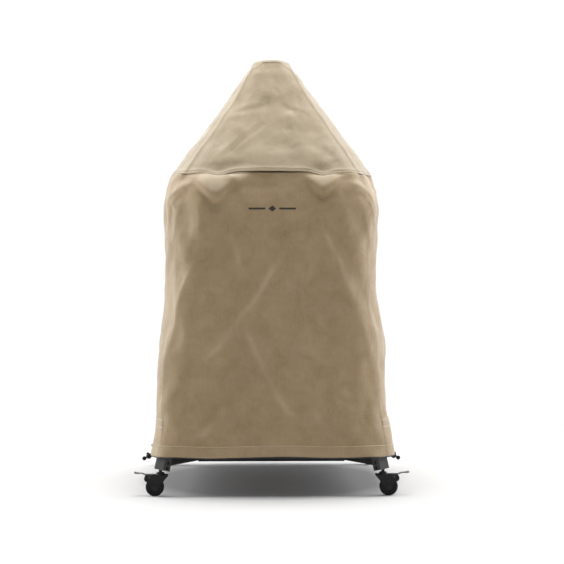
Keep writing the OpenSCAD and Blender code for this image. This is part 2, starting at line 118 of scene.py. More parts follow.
def along(x, k, z, top):
    """Length along the cloth for a distance x across side k."""
    w, _, r = sizes(k, z, top)
    x = np.asarray(x, float)
    over = np.clip((np.abs(x) - (w - r)) / r, 0, 0.999)
    return np.sign(x) * np.where(np.abs(x) <= w - r, np.abs(x), (w - r) + r * np.arcsin(over))


def place(k, s, z, top):
    """Points of the smooth cover on side k, and their outward normals."""
    w, d, r = sizes(k, z, top)
    flat = w - r
    a = np.clip((np.abs(s) - flat) / r, 0, 2)
    sg = np.sign(s)
    x = sg * (np.minimum(np.abs(s), flat) + r * np.sin(a))
    y = -(d - r) - r * np.cos(a)
    nx, ny = sg * np.sin(a), -np.cos(a)
    nz = -(RW_(z) if top else BW_(z))
    nz = nz + 0 * nx
    q = np.sqrt(nx * nx + ny * ny + nz * nz)
    c, n = [(1, 0), (0, 1), (-1, 0), (0, -1)][k % 4]
    sway = 4.0 * smooth((z - 1000) / 300) + 6.5 * np.exp(-((z - 220) / 75) ** 2)
    pts = np.stack([x * c - y * n + sway, x * n + y * c, z + 0 * x], -1)
    nor = np.stack([(nx * c - ny * n) / q, (nx * n + ny * c) / q, nz / q], -1)
    return pts, nor


def smooth(t):
    t = np.clip(t, 0, 1)
    return t * t * (3 - 2 * t)


# Folds pressed into the cloth. Each is (points across and up the side, height, width,
# sharpness of the crest, sideways step). Heights above 0 stand out of the cloth.
FOLDS = {
    0: [
        ([(65, 901), (29, 851), (0, 807), (-36, 742), (-72, 685), (-111, 642), (-151, 584), (-187, 535),
          (-229, 499), (-287, 463)], 5.2, 18, 4.5, 2.4),
        ([(-111, 642), (-93, 592), (-65, 527), (-36, 470), (-7, 406), (21, 356), (57, 299), (107, 281)],
         5.0, 21, 6.5, -2.0),
        ([(-36, 470), (-10, 400), (22, 352), (50, 312)], 1.6, 7, 1.5, 0),
        ([(-158, 948), (-129, 879), (-115, 818), (-101, 764)], 3.4, 20, 5, 2.6),
        ([(181, 981), (210, 901), (246, 836), (275, 742), (289, 685)], 4.4, 16, 4, -2.0),
        ([(210, 905), (224, 850), (232, 800)], 1.2, 10, 3, 0),
        ([(-165, 328), (-200, 264), (-257, 222), (-328, 201)], 3.2, 26, 8, 2.2),
        ([(-270, 868), (-290, 820), (-318, 745), (-345, 640), (-368, 540), (-384, 440)], 9.0, 20, 5, 0.0),
        ([(-236, 820), (-264, 740), (-290, 640), (-312, 540)], -4.0, 26, 8, 0.0),
        ([(-372, 600), (-384, 500), (-392, 400)], 2.0, 14, 4, 0.0),
        ([(-259, 1090), (-259, 1050), (-263, 980), (-266, 940)], 4.4, 14, 4, -2.0),
        ([(-248, 950), (-256, 915), (-277, 880), (-300, 850)], 2.0, 14, 4, 0),
        ([(-386, 1030), (-367, 1081), (-331, 1110), (-270, 1134)], 4.0, 11, 3, 1.5),
        ([(-384, 960), (-372, 1040), (-340, 1086), (-296, 1108)], 3.0, 10, 3, 1.8),
        ([(-366, 900), (-350, 1000), (-330, 1056)], 2.4, 12, 3, 1.2),
        ([(-340, 880), (-322, 960), (-310, 1020)], 2.0, 14, 4, 1.2),
        ([(376, 1030), (354, 1082), (319, 1112), (262, 1134)], 4.0, 11, 3, -1.5),
        ([(378, 950), (360, 1036), (330, 1086), (290, 1108)], 3.0, 10, 3, -1.8),
        ([(362, 880), (344, 980), (326, 1044)], 2.4, 13, 3, -1.2),
        ([(172, 430), (178, 360), (190, 285)], 1.2, 30, 12, 0.8),
        ([(246, 400), (276, 345), (290, 290)], 2.4, 26, 8, -1.4),
        ([(122, 363), (164, 274), (207, 203)], 2.8, 26, 8, -2.0),
        ([(180, 268), (202, 226), (222, 190)], 1.6, 14, 4, 0.8),
        ([(-266, 595), (-209, 638), (-151, 652)], 1.2, 15, 4, 0.6),
        ([(-300, 640), (-240, 672), (-170, 682)], 1.0, 14, 4, 0.6),
        ([(-36, 670), (15, 674), (72, 685)], 1.0, 8, 2, 0.5),
        ([(159, 627), (224, 649)], 1.0, 10, 3, 0.5),
        ([(-330, 742), (-274, 753), (-166, 732), (-115, 703)], 1.2, 12, 3, 0.9),
        ([(123, 883), (145, 818), (116, 746)], 1.4, 14, 4, 0.8),
        ([(-60, 960), (-30, 930), (10, 905), (60, 900)], 1.2, 18, 5, 0.8),
        ([(40, 1085), (0, 1060), (-50, 1052), (-100, 1064)], 1.2, 14, 4, -0.8),
        ([(40, 1100), (95, 1080), (150, 1040)], 1.1, 16, 4, 0.8),
        ([(330, 640), (345, 560), (362, 470)], 2.4, 16, 5, 0.8),
        ([(345, 760), (352, 690), (366, 620)], 2.0, 14, 4, -0.8),
        ([(372, 440), (392, 330), (402, 240)], 2.2, 15, 5, 0),
        ([(-392, 380), (-402, 290), (-410, 210)], 2.2, 14, 5, 0),
        ([(300, 300), (340, 240), (372, 190)], 1.4, 16, 5, 0.6),
        ([(-118, 470), (-60, 430), (10, 420)], -1.2, 16, 5, 0.8),
        ([(60, 520), (120, 480), (190, 470)], 1.2, 20, 6, 0.8),
        ([(60, 560), (130, 540), (180, 500)], -1.0, 16, 5, 0),
    ],
    1: [
        ([(-150, 1090), (-120, 980), (-60, 860), (30, 740), (140, 640)], 3.2, 16, 4, 1.4),
        ([(30, 740), (50, 640), (40, 520), (80, 400)], 2.6, 16, 4, -1.2),
        ([(210, 1060), (190, 930), (215, 800), (250, 690)], 2.6, 17, 5, 1.0),
        ([(-260, 900), (-280, 780), (-330, 640)], 2.8, 18, 5, -1.0),
        ([(-120, 560), (-170, 430), (-240, 320), (-330, 240)], 2.8, 18, 5, 1.4),
        ([(160, 480), (220, 370), (300, 290)], 2.2, 18, 5, -1.2),
        ([(-60, 330), (-20, 400), (60, 420)], 1.6, 18, 5, 1.0),
        ([(270, 1100), (330, 1070), (362, 1000)], 2.0, 11, 3, 1.0),
        ([(-270, 1112), (-330, 1080), (-362, 1010)], 2.0, 11, 3, -1.0),
        ([(340, 620), (355, 500), (368, 400)], 2.0, 16, 5, 0),
        ([(-60, 1000), (0, 950), (80, 940)], 1.2, 18, 5, 0.8),
    ],
    2: [
        ([(120, 1080), (80, 960), (10, 850), (-30, 720), (-120, 600), (-220, 520)], 3.4, 16, 4, -1.4),
        ([(-30, 720), (10, 610), (80, 500), (100, 380)], 2.8, 15, 4, 1.2),
        ([(-230, 1000), (-200, 880), (-240, 760)], 2.4, 17, 5, -1.0),
        ([(260, 940), (285, 800), (330, 660)], 2.6, 18, 5, 1.0),
        ([(200, 420), (250, 320), (330, 250)], 2.4, 18, 5, 1.2),
        ([(-140, 380), (-200, 290), (-300, 220)], 2.4, 17, 5, -1.2),
        ([(10, 330), (60, 260), (130, 200)], 1.8, 16, 5, 0.8),
        ([(268, 1114), (330, 1084), (364, 1010)], 2.2, 11, 3, 1.0),
        ([(-268, 1110), (-332, 1080), (-366, 1000)], 2.2, 11, 3, -1.0),
        ([(-90, 1010), (-30, 980), (60, 985)], 1.2, 18, 5, 0.8),
    ],
    3: [
        ([(-170, 1060), (-110, 930), (-90, 800), (0, 680), (60, 560), (170, 470)], 3.2, 16, 4, 1.4),
        ([(60, 560), (30, 450), (-40, 360), (-70, 260)], 2.6, 16, 4, -1.2),
        ([(200, 1040), (230, 900), (210, 780)], 2.4, 16, 5, 1.2),
        ([(-270, 880), (-290, 760), (-330, 620)], 2.4, 18, 5, -1.0),
        ([(-180, 520), (-240, 420), (-320, 350)], 2.2, 18, 5, 1.0),
        ([(180, 350), (250, 270), (340, 220)], 2.2, 18, 5, 1.2),
        ([(266, 1112), (326, 1080), (360, 1004)], 2.2, 11, 3, 1.0),
        ([(-266, 1112), (-328, 1082), (-362, 1010)], 2.2, 11, 3, -1.0),
        ([(330, 860), (352, 740), (368, 620)], 2.0, 14, 4, 0),
    ],
}
ROOF_FOLDS = {
    0: [
        ([(-12, 1368), (-34, 1348), (-75, 1311), (-120, 1276), (-160, 1236), (-196, 1209)], -3.0, 8, 1.4, 1.6),
        ([(-30, 1384), (-79, 1343), (-123, 1307), (-167, 1264), (-214, 1224)], 3.0, 12, 3, 0),
        ([(-150, 1402), (-110, 1414), (-75, 1421), (-26, 1431), (-12, 1446), (-5, 1468)], -2.4, 7, 1.3, 1.6),
        ([(-140, 1428), (-90, 1440), (-44, 1452), (-26, 1478)], 2.2, 13, 4, 0),
        ([(21, 1468), (12, 1490), (-2, 1524)], -2.2, 6, 1.3, 1.0),
        ([(26, 1427), (41, 1434), (58, 1421), (97, 1411), (146, 1394)], -2.4, 7, 1.3, 1.4),
        ([(48, 1402), (84, 1380), (104, 1356)], 2.4, 14, 4, 0),
        ([(-184, 1358), (-150, 1368), (-118, 1380)], -2.8, 10, 3, 1.0),
        ([(-150, 1396), (-120, 1392), (-84, 1398)], 2.4, 11, 3, 0),
        ([(42, 1324), (66, 1342)], -2.8, 8, 2, 1.0),
        ([(56, 1242), (84, 1262), (112, 1280)], -2.0, 7, 1.3, 1.2),
        ([(176, 1190), (214, 1200), (248, 1213)], -2.4, 7, 1.6, 1.2),
        ([(168, 1264), (198, 1246), (228, 1226)], -3.2, 13, 4, 0),
        ([(96, 1284), (134, 1252), (178, 1220)], 3.0, 16, 4, 0),
        ([(-224, 1252), (-200, 1266), (-178, 1278)], -2.8, 12, 4, 0),
        ([(-262, 1196), (-232, 1192), (-200, 1196)], -2.2, 8, 2, 1.0),
        ([(-150, 1230), (-80, 1206), (0, 1200), (70, 1204)], 1.8, 18, 6, 0),
        ([(20, 1330), (0, 1300), (-30, 1272)], 1.2, 16, 5, 0),
        ([(-30, 1546), (0, 1520), (24, 1500), (56, 1470)], 1.4, 11, 3, 0),
        ([(-60, 1500), (-84, 1470), (-104, 1446)], 1.6, 12, 4, 0),
    ],
    1: [
        ([(-20, 1400), (40, 1340), (90, 1290), (150, 1240)], -2.8, 9, 2, -1.4),
        ([(0, 1424), (60, 1368), (112, 1312), (170, 1262)], 2.6, 13, 4, 0),
        ([(-120, 1390), (-60, 1372), (-30, 1400)], -2.2, 8, 2, 1.2),
        ([(-150, 1250), (-90, 1268), (-40, 1290)], 2.2, 13, 4, 1.0),
        ([(-30, 1500), (10, 1470), (30, 1430)], -1.8, 8, 2, 1.0),
        ([(-230, 1196), (-180, 1204)], -2.2, 9, 2, 1.0),
    ],
    2: [
        ([(30, 1410), (-20, 1350), (-70, 1300), (-140, 1250)], -2.8, 9, 2, 1.4),
        ([(50, 1392), (0, 1330), (-50, 1280), (-110, 1232)], 2.4, 13, 4, 0),
        ([(60, 1450), (110, 1418), (136, 1390)], -2.2, 8, 2, 1.0),
        ([(90, 1240), (150, 1268), (190, 1290)], 2.2, 13, 4, 1.0),
        ([(10, 1530), (-10, 1490), (-40, 1460)], -1.6, 7, 2, 1.0),
        ([(200, 1194), (246, 1208)], -2.2, 8, 2, -1.0),
    ],
    3: [
        ([(-10, 1420), (-70, 1360), (-110, 1300), (-180, 1240)], -2.8, 9, 2, 1.4),
        ([(20, 1380), (70, 1330), (130, 1290)], 2.4, 14, 4, 1.0),
        ([(60, 1460), (20, 1440), (-10, 1470)], -1.8, 8, 2, 1.0),
        ([(-60, 1230), (20, 1216), (90, 1226)], 1.8, 16, 5, 0),
        ([(160, 1250), (210, 1222)], -2.4, 10, 3, 1.0),
    ],
}
# Hollows and swellings: (across, up, half width, half height, depth out, turn in degrees).
BLOBS = {
    0: [(-203, 1046, 60, 22, -2.0, 0), (-5, 1166, 150, 40, 12.0, 0),
        (182, 1078, 52, 20, -1.6, 0),
        (-40, 1150, 70, 16, -4.0, 0), (95, 1150, 44, 14, -4.0, 0), (-40, 1110, 80, 16, -2.0, 0),
        (300, 1140, 40, 16, -3.0, 0), (-320, 1140, 36, 16, -3.0, 0),
        (80, 988, 50, 26, 2.6, 12), (78, 946, 60, 22, -2.6, 12), (150, 930, 60, 30, -1.8, 20),
        (-60, 1020, 70, 40, 2.0, 0), (0, 1140, 90, 22, -2.0, 0), (-20, 920, 40, 24, -2.4, 0),
        (-180, 700, 70, 40, 2.0, 30), (-240, 560, 60, 60, -2.2, 30), (60, 760, 60, 90, 1.4, 0),
        (110, 520, 80, 60, 1.6, 10), (190, 430, 60, 60, -2.0, 0), (-190, 400, 90, 70, 2.0, 20),
        (270, 560, 50, 90, -2.4, 0), (300, 960, 40, 80, -2.4, 0), (-310, 1010, 32, 60, -3.0, 0),
        (-330, 330, 34, 90, -3.0, 4), (340, 380, 40, 100, -3.0, -4), (0, 240, 120, 40, -1.6, 0),
        (-60, 300, 50, 80, 1.8, 20), (250, 240, 50, 50, 2.2, 20), (-255, 1000, 34, 60, 4.5, 6), (-262, 880, 30, 60, -4, -6),
        (-270, 760, 34, 60, 4, 4), (268, 1000, 30, 60, 4.5, -6), (272, 880, 34, 50, -4, 6), (280, 770, 30, 60, 4, -4),
        (-285, 640, 30, 50, -3.5, 0), (300, 640, 30, 60, -3.5, 0), (-300, 520, 34, 60, 4, 0), (310, 500, 34, 60, 4, 0)],
    1: [(-150, 1158, 40, 15, -6, 0), (-150, 1112, 36, 18, 5, 0), (190, 1158, 40, 14, -6, 0),
        (190, 1116, 36, 18, 5, 0), (-60, 700, 80, 70, -2.6, 20), (150, 860, 70, 90, 2.4, 0),
        (-200, 560, 70, 80, 2.4, 0), (230, 420, 60, 90, -2.6, 0), (40, 280, 110, 50, 2.0, 0)],
    2: [(-180, 1158, 40, 15, -6, 0), (-180, 1112, 36, 18, 5, 0), (160, 1158, 40, 14, -6, 0),
        (160, 1116, 36, 18, 5, 0), (60, 760, 80, 70, -2.6, 20), (-150, 860, 70, 90, 2.4, 0),
        (200, 560, 70, 80, 2.4, 0), (-230, 420, 60, 90, -2.6, 0), (-40, 280, 110, 50, 2.0, 0)],
    3: [(-190, 1158, 40, 15, -6, 0), (-190, 1112, 36, 18, 5, 0), (150, 1158, 40, 14, -6, 0),
        (150, 1116, 36, 18, 5, 0), (0, 820, 80, 70, -2.6, -20), (-150, 640, 70, 90, 2.4, 0),
        (210, 600, 70, 80, 2.4, 0), (230, 420, 60, 90, -2.6, 0), (-40, 300, 110, 50, 2.0, 0)],
}
ROOF_BLOBS = {
    0: [(-203, 1172, 44, 20, -3.0, 0), (182, 1172, 42, 18, -3.0, 0), (-5, 1166, 150, 84, 12.0, 0),
        (-203, 1150, 60, 12, 0.8, 0), (182, 1152, 50, 12, 0.8, 0),
        (-30, 1480, 26, 26, 2.4, 0), (40, 1470, 22, 30, 2.2, 0), (60, 1375, 26, 30, 2.2, 30),
        (-120, 1330, 60, 22, 2.2, -42), (10, 1300, 60, 30, 1.4, 0), (-10, 1230, 90, 26, 2.0, 0),
        (-140, 1190, 50, 14, -2.0, 0), (-120, 1440, 18, 26, -2.4, 0), (100, 1450, 18, 26, -2.4, 0),
        (150, 1330, 30, 40, -2.6, 30), (-190, 1300, 24, 40, -2.4, -30)],
    1: [(-150, 1166, 40, 16, -5, 0), (190, 1166, 38, 14, -5, 0), (0, 1260, 90, 40, 2.4, 0),
        (-60, 1450, 30, 40, 2.0, 0), (110, 1370, 30, 40, -2.4, 20)],
    2: [(-180, 1166, 40, 16, -5, 0), (160, 1166, 38, 14, -5, 0), (30, 1280, 90, 40, 2.4, 0),
        (50, 1460, 30, 40, 2.0, 0), (-120, 1370, 30, 40, -2.4, 20)],
    3: [(-190, 1166, 40, 16, -5, 0), (150, 1166, 38, 14, -5, 0), (-30, 1260, 90, 40, 2.4, 0),
        (40, 1420, 30, 40, 2.0, 0), (-120, 1340, 30, 40, -2.4, 20)],
}
# Slack cloth sagging out under the shoulder seam: (across, lowest edge, half width, how far out).
SHELVES = {0: [(-206, 1082, 98, 30.0), (-122, 1128, 56, 9.0), (184, 1104, 80, 24.0)], 1: [(-150, 1096, 74, 6.0), (190, 1104, 66, 5.0)],
           2: [(-180, 1092, 80, 9.0), (160, 1102, 70, 8.0)], 3: [(-190, 1094, 76, 6.0), (150, 1104, 66, 5.0)]}
# Places where the shoulder seam dips: (across, depth, half width).
DIPS = {0: [(-195, 14, 38), (183, 12, 32)], 1: [(-150, 12, 36), (190, 12, 34)],
        2: [(-180, 13, 38), (160, 12, 34)], 3: [(-190, 13, 36), (150, 12, 36)]}
# Slow waves of the hem's lower edge: (across, rise, half width).
WAVES = {0: [(-215, -2.0, 90), (30, 2.4, 110), (210, -1.6, 90), (-350, 2.4, 50), (352, 2.0, 40)],
         1: [(-150, -2.0, 90), (60, 2.2, 100), (260, -1.6, 80)],
         2: [(200, -2.0, 90), (-20, 2.2, 110), (-240, -1.6, 80)],
         3: [(-180, -1.8, 90), (100, 2.2, 110), (300, -1.4, 60)]}

rng = np.random.default_rng(11)
MODES = []
for _i in range(46):
    wl = 55 * (5.2 ** rng.random())
    direction = rng.normal(size=3) * np.array([1.0, 1.0, 0.55])
    direction /= np.linalg.norm(direction)
    MODES.append((direction * 2 * math.pi / wl, rng.random() * 2 * math.pi, 0.60 * (wl / 120) ** 0.9))


def ripple(p):
    out = np.zeros(p.shape[:-1])
    for kv, ph, a in MODES:
        out += a * np.sin(p @ kv + ph)
    return out


def fold_field(points, s, z, h, w, e, step):
    """Height of one fold at the cloth's points, and the painted light along its crest: a painted highlight on raised
    folds, painted shade in sunken ones.
    """
    out, crest = np.zeros(s.shape), np.zeros(s.shape)
    reach = 4.5 * w + 10
    lo = points.min(0) - reach
    hi = points.max(0) + reach
    m = (s > lo[0]) & (s < hi[0]) & (z > lo[1]) & (z < hi[1])
    if not m.any():
        return out, crest
    q = np.stack([s[m], z[m]], -1)
    seg = np.diff(points, axis=0)
    ln = np.linalg.norm(seg, axis=1)
    start = np.concatenate([[0], np.cumsum(ln)])
    best = np.full(len(q), 1e9)
    where, side = np.zeros(len(q)), np.zeros(len(q))
    for i in range(len(seg)):
        d = q - points[i]
        t = np.clip((d @ seg[i]) / ln[i] ** 2, 0, 1)
        off = d - t[:, None] * seg[i]
        dist = np.linalg.norm(off, axis=1)
        better = dist < best
        best[better] = dist[better]
        where[better] = (start[i] + t * ln[i])[better]
        side[better] = np.sign(seg[i][0] * d[:, 1] - seg[i][1] * d[:, 0])[better]
    u = where / start[-1]
    taper = smooth(u / 0.22) * smooth((1 - u) / 0.22)
    taper = 0.12 * smooth(np.minimum(u, 1 - u) / 0.03) + 0.88 * taper
    wide = w * (0.8 + 0.5 * np.abs(u - 0.5))
    core = np.exp(-(np.sqrt(best ** 2 + e * e) - e) / wide) * np.exp(-(best / (3.2 * w)) ** 2)
    tilt = side * (best / w) * np.exp(-(best / (1.7 * w)) ** 2)
    out[m] = taper * (h * core + step * tilt)
    uneven = 0.62 + 0.38 * np.sin(u * 11 + points[0][0] * 0.07)
    # painted light on the crest: positive (pale, a painted highlight) for raised folds, negative (dark, painted shade)
    # for sunken ones
    crest[m] = taper * uneven * np.exp(-(best / max(4.5, 0.5 * w)) ** 2) * min(1, abs(h) / 4) * np.sign(h)
    return out, crest


def _points(k, pts, top):
    p = np.array(pts, float)
    return np.stack([along(p[:, 0], k, p[:, 1], top), p[:, 1]], -1)


CURVED = {top: {k: [(_points(k, f[0], top),) + tuple(f[1:]) for f in src[k]] for k in src}
          for top, src in ((False, FOLDS), (True, ROOF_FOLDS))}


def shaped(k, s, z, top):
    """How far the cloth stands out of the smooth cover, and the painted highlight and shade along its folds."""
    p, _ = place(k, s, z, top)
    out = (0.5 if top else 1.0) * ripple(p)
    worn = np.zeros(s.shape)
    for j in (-1, 0, 1):
        o = (k + j) % 4
        sj = s - j * (half(k, z, top) + half(o, z, top))
        for pts, h, w, e, step in CURVED[top][o]:
            ease = 0.7 if top else 1.0
            a, b = fold_field(pts, sj, z, h * ease, w * 1.15, e * 1.3, step * ease)
            out += a
            worn = np.where(np.abs(b) > np.abs(worn), b, worn)
        for x, y, sx, sy, a, turn in (ROOF_BLOBS if top else BLOBS)[o]:
            a = a * ((2.5 if top else 2.1) if abs(a) < 3.1 else 1.0)
            c, n = math.cos(math.radians(turn)), math.sin(math.radians(turn))
            dx, dy = sj - float(along(x, o, y, top)), z - y
            out += a * np.exp(-((dx * c + dy * n) / sx) ** 2 - ((dy * c - dx * n) / sy) ** 2)
    return out, worn


def shelf(k, s, z):
    """The sags under the shoulder seam, and how much of their upper face lies at each point (the part painted pale as a
    highlight).
    """
    out, face = np.zeros(s.shape), np.zeros(s.shape)
    for x, low, wide, far in SHELVES[k]:
        u = np.abs(s - x) / wide
        dip = np.exp(-(u / 0.62) ** 2)
        edge = 1156 - (1156 - low) * dip
        t = np.clip((1156 - z) / np.maximum(1156 - edge, 4.0), 0, 1)
        under = 1 - smooth((edge - z) / 34)
        out += far * dip * (1 - (1 - t) ** 2.0) * under
        face += dip ** 0.5 * (1 - smooth((edge - z) / 20 + 0.7)) * smooth((1 - u) / 0.6)
    return out, face


def seam_z(k, s):
    """Height of the shoulder seam along side k."""
    z = np.full(s.shape, SHOULDER)
    for x, d, w in DIPS[k]:
        z = z - d * np.exp(-((s - x) / w) ** 2)
    h = half(k, SHOULDER, True)
    return z - 1.5 * smooth((np.abs(s) / h - 0.85) / 0.15)


def hem_height(k, s):
    z = np.full(s.shape, HEM)
    h = half(k, HEM, False)
    fade = 1 - smooth((np.abs(s) / h - 0.8) / 0.2)
    for x, d, w in WAVES[k]:
        z = z + d * np.exp(-((s - x) / w) ** 2) * fade
    return z + 1.0


def crown_height(k, s, z=CROWN_Z):
    """The crown seam rises between the corners."""
    h = half(k, CROWN_Z, True)
    return CROWN_Z + 1 + 25 * (1 - smooth((np.abs(s) / h - 0.45) / 0.55))


def bump(d, at, width):
    return np.exp(-((d - at) / width) ** 2)


def seam_shape(k, s, z, top, low, high):
    """Small steps beside the seams: laps, rolled edges and the pull of the stitches.
    low and high are the heights of the panel's lower and upper edge at each point."""
    edge = half(k, z, top) - np.abs(s)
    up, down = z - low, high - z
    if top:          # a raised ridge: the two panels are pinched up along the seam
        out = 0.4 * bump(edge, 0, 3.4) + 2.6 * bump(edge, 0, 9.5)
        if k % 2 == 1:   # the allowance is folded to the side panels and stitched down
            out += 0.7 * (1 - smooth((edge - 12.6) / 3.0)) * smooth(edge / 3.0) - 0.15 * bump(edge, 11.0, 1.4)
    else:
        out = 0.1 * bump(edge, 0, 5.0)
        if k % 2 == 1:
            out += 0.3 * (1 - smooth((edge - 12.6) / 4.0)) * smooth(edge / 4.0) - 0.15 * bump(edge, 11.0, 1.6)
    if top:
        out += 1.0 * (1 - smooth((up - 12.5) / 2.0)) * smooth(up / 1.0) - 0.7 * bump(up, 0, 0.9)
        out -= 0.7 * bump(up, 10.0, 1.3)
        out += 1.8 * bump(up, 15.0, 5.5)
        out -= 1.2 * bump(down, 0, 2.6)
    else:
        out -= 1.3 * bump(down, 0, 2.4)
        out += 1.5 * (1 - smooth((up - 37.4) / 1.6)) - 1.9 * bump(up, 0, 1.5)
        out -= 0.25 * bump(up, 34.5, 1.0)
    return out


def cloth(k, s, z, top, off=0.0):
    """The finished outer face of side k (or off mm inside it), with its painted light and wear values."""
    p, n = place(k, s, z, top)
    low = seam_z(k, s) if top else hem_height(k, s)
    high = crown_height(k, s) if top else seam_z(k, s)
    d, worn = shaped(k, s, z, top)
    out = d + seam_shape(k, s, z, top, low, high)
    if not top:
        sag, face = shelf(k, s, z)
        out = out + sag
    # painted light along the seams: pale lines on the raised seam ridges and lap edges are painted highlights, partly
    # edge wear; on the hem a pale line at the top of its step is a painted highlight over the stitching, and the strip
    # below it is a little paler
    edge = half(k, z, top) - np.abs(s)
    seam_wear_and_painted_light = 2.0 * bump(edge, 0, 3.2) if top else 0.25 * bump(edge, 0, 3.0)
    if k % 2:
        seam_wear_and_painted_light = seam_wear_and_painted_light + (1.6 if top else 0.2) * bump(edge, 12.4, 1.9)
    if top:
        seam_wear_and_painted_light = seam_wear_and_painted_light + 0.9 * bump(z - low, 13.5, 3.0)
    else:
        seam_wear_and_painted_light = seam_wear_and_painted_light + 1.8 * bump(z - low, 38.2, 1.2) + 0.35 * (z - low < 36)
    if not top:
        # the upper faces of the sags under the shoulder seam are painted pale: a painted highlight from the top light
        seam_wear_and_painted_light = seam_wear_and_painted_light + 1.9 * np.minimum(face, 1.0)
    else:
        # a dark line just below the crown seam, where the cap laps over the roof: partly a dark seam line, partly
        # painted shade under the cap's edge
        seam_wear_and_painted_light = seam_wear_and_painted_light - 2.6 * bump(high - z, 2.0, 3.0)
    worn = np.where(np.abs(seam_wear_and_painted_light) > np.abs(worn), seam_wear_and_painted_light, worn)
    return p + n * (out - off)[..., None], n, worn


def lines(a, b, near_a, near_b, pitch):
    """Grid lines from a to b: close to the ends at the given distances, even between."""
    na, nb = np.array(near_a, float), np.array(near_b, float)
    lo, hi = a + na[-1], b - nb[-1]
    n = max(2, int(round((hi - lo) / pitch)))
    return np.concatenate([a + na[:-1], np.linspace(lo, hi, n + 1), (b - nb[:-1])[::-1]])


EDGE = [0, 0.6, 1.4, 2.4, 3.4, 4.6, 6.4, 8.6, 10.2, 11.4, 12.4, 13.4, 14.6, 17.5, 21.5]
HEM_ROWS = [0, 0.7, 1.5, 2.8, 5, 9, 14, 20, 26, 31, 34.5, 36, 37, 37.5, 38.0, 38.5, 39.2, 41, 44.5, 49]
SEAM_ROWS = [0, 1.0, 2.2, 3.6, 5.4, 8, 11, 15]
LAP_ROWS = [0, 0.5, 1.2, 2.4, 4.5, 7, 8.8, 10, 11.2, 12.4, 13.6, 15, 17.4, 20.6, 24]


def panel_grid(k, top, pitch_s, pitch_z):
    """The lines (s, z) of one panel, warped so that its ends follow the seams."""
    if top:
        rows = lines(SHOULDER, CROWN_Z, LAP_ROWS, SEAM_ROWS, pitch_z)
    else:
        rows = lines(HEM, SHOULDER, HEM_ROWS, SEAM_ROWS, pitch_z)
    lo, hi = rows[0], rows[-1]
    mid = half(k, rows, top)
    widest = mid.max()
    n = max(8, int(round((2 * widest - 2 * EDGE[-1]) / pitch_s)))
    s = np.empty((len(rows), n + 1 + 2 * (len(EDGE) - 1)))
    for i, h in enumerate(mid):
        near = np.array(EDGE) * min(1.0, h / 60)
        inner = np.linspace(-h + near[-1], h - near[-1], n + 1)
        s[i] = np.concatenate([-h + near[:-1], inner, (h - near[:-1])[::-1]])
    t = (rows - lo) / (hi - lo)
    for _ in range(3):
        z = np.empty_like(s)
        share = s / mid[:, None]
        s0 = share * half(k, np.array(lo), top)
        s1 = share * half(k, np.array(hi), top)
        a = seam_z(k, s0) if top else hem_height(k, s0)
        b = crown_height(k, s1) if top else seam_z(k, s1)
        # the rows near an edge keep their distance from it
        shift_a, shift_b = a - lo, b - hi
        fa, fb = 1 - smooth((rows - lo) / (230 if not top else 150)), 1 - smooth((hi - rows) / (190 if not top else 110))
        z = rows[:, None] + shift_a * fa[:, None] + shift_b * fb[:, None]
        s = share * half(k, z, top)
    return s, z


# ------------------------------------------------------------------ meshes
def mesh_object(name, verts, faces, uv=None, worn=None, flat=False):
    """A mesh object from millimetres, with its cloth coordinates in metres."""
    me = bpy.data.meshes.new(name)
    me.from_pydata((np.asarray(verts) / 1000).tolist(), [], [list(f) for f in faces])
    if uv is not None:
        layer = me.uv_layers.new(name="cloth")
        idx = np.zeros(len(me.loops), np.int32)
        me.loops.foreach_get("vertex_index", idx)
        layer.data.foreach_set("uv", (np.asarray(uv)[idx] / 1000).astype(np.float32).ravel())
    if worn is not None:
        at = me.attributes.new("worn", "FLOAT", "POINT")
        at.data.foreach_set("value", np.asarray(worn, np.float32).ravel())
    me.polygons.foreach_set("use_smooth", [not flat] * len(me.polygons))
    me.validate()
    me.update()
    ob = bpy.data.objects.new(name, me)
    bpy.context.scene.collection.objects.link(ob)
    return ob


def grid_faces(m, n, wrap=False, o=0):
    i, j = np.meshgrid(np.arange(n if wrap else n - 1), np.arange(m - 1))
    i, j = i.ravel(), j.ravel()
    i1 = (i + 1) % n
    return np.stack([j * n + i, j * n + i1, (j + 1) * n + i1, (j + 1) * n + i], -1) + o


def normals_of(P, wrap=False):
    if wrap:
        Q = np.concatenate([P[:, -1:], P, P[:, :1]], 1)
        du = (Q[:, 2:] - Q[:, :-2])
    else:
        du = np.gradient(P, axis=1)
    dv = np.gradient(P, axis=0)
    N = np.cross(du, dv)
    return N / np.maximum(np.linalg.norm(N, axis=-1, keepdims=True), 1e-9)


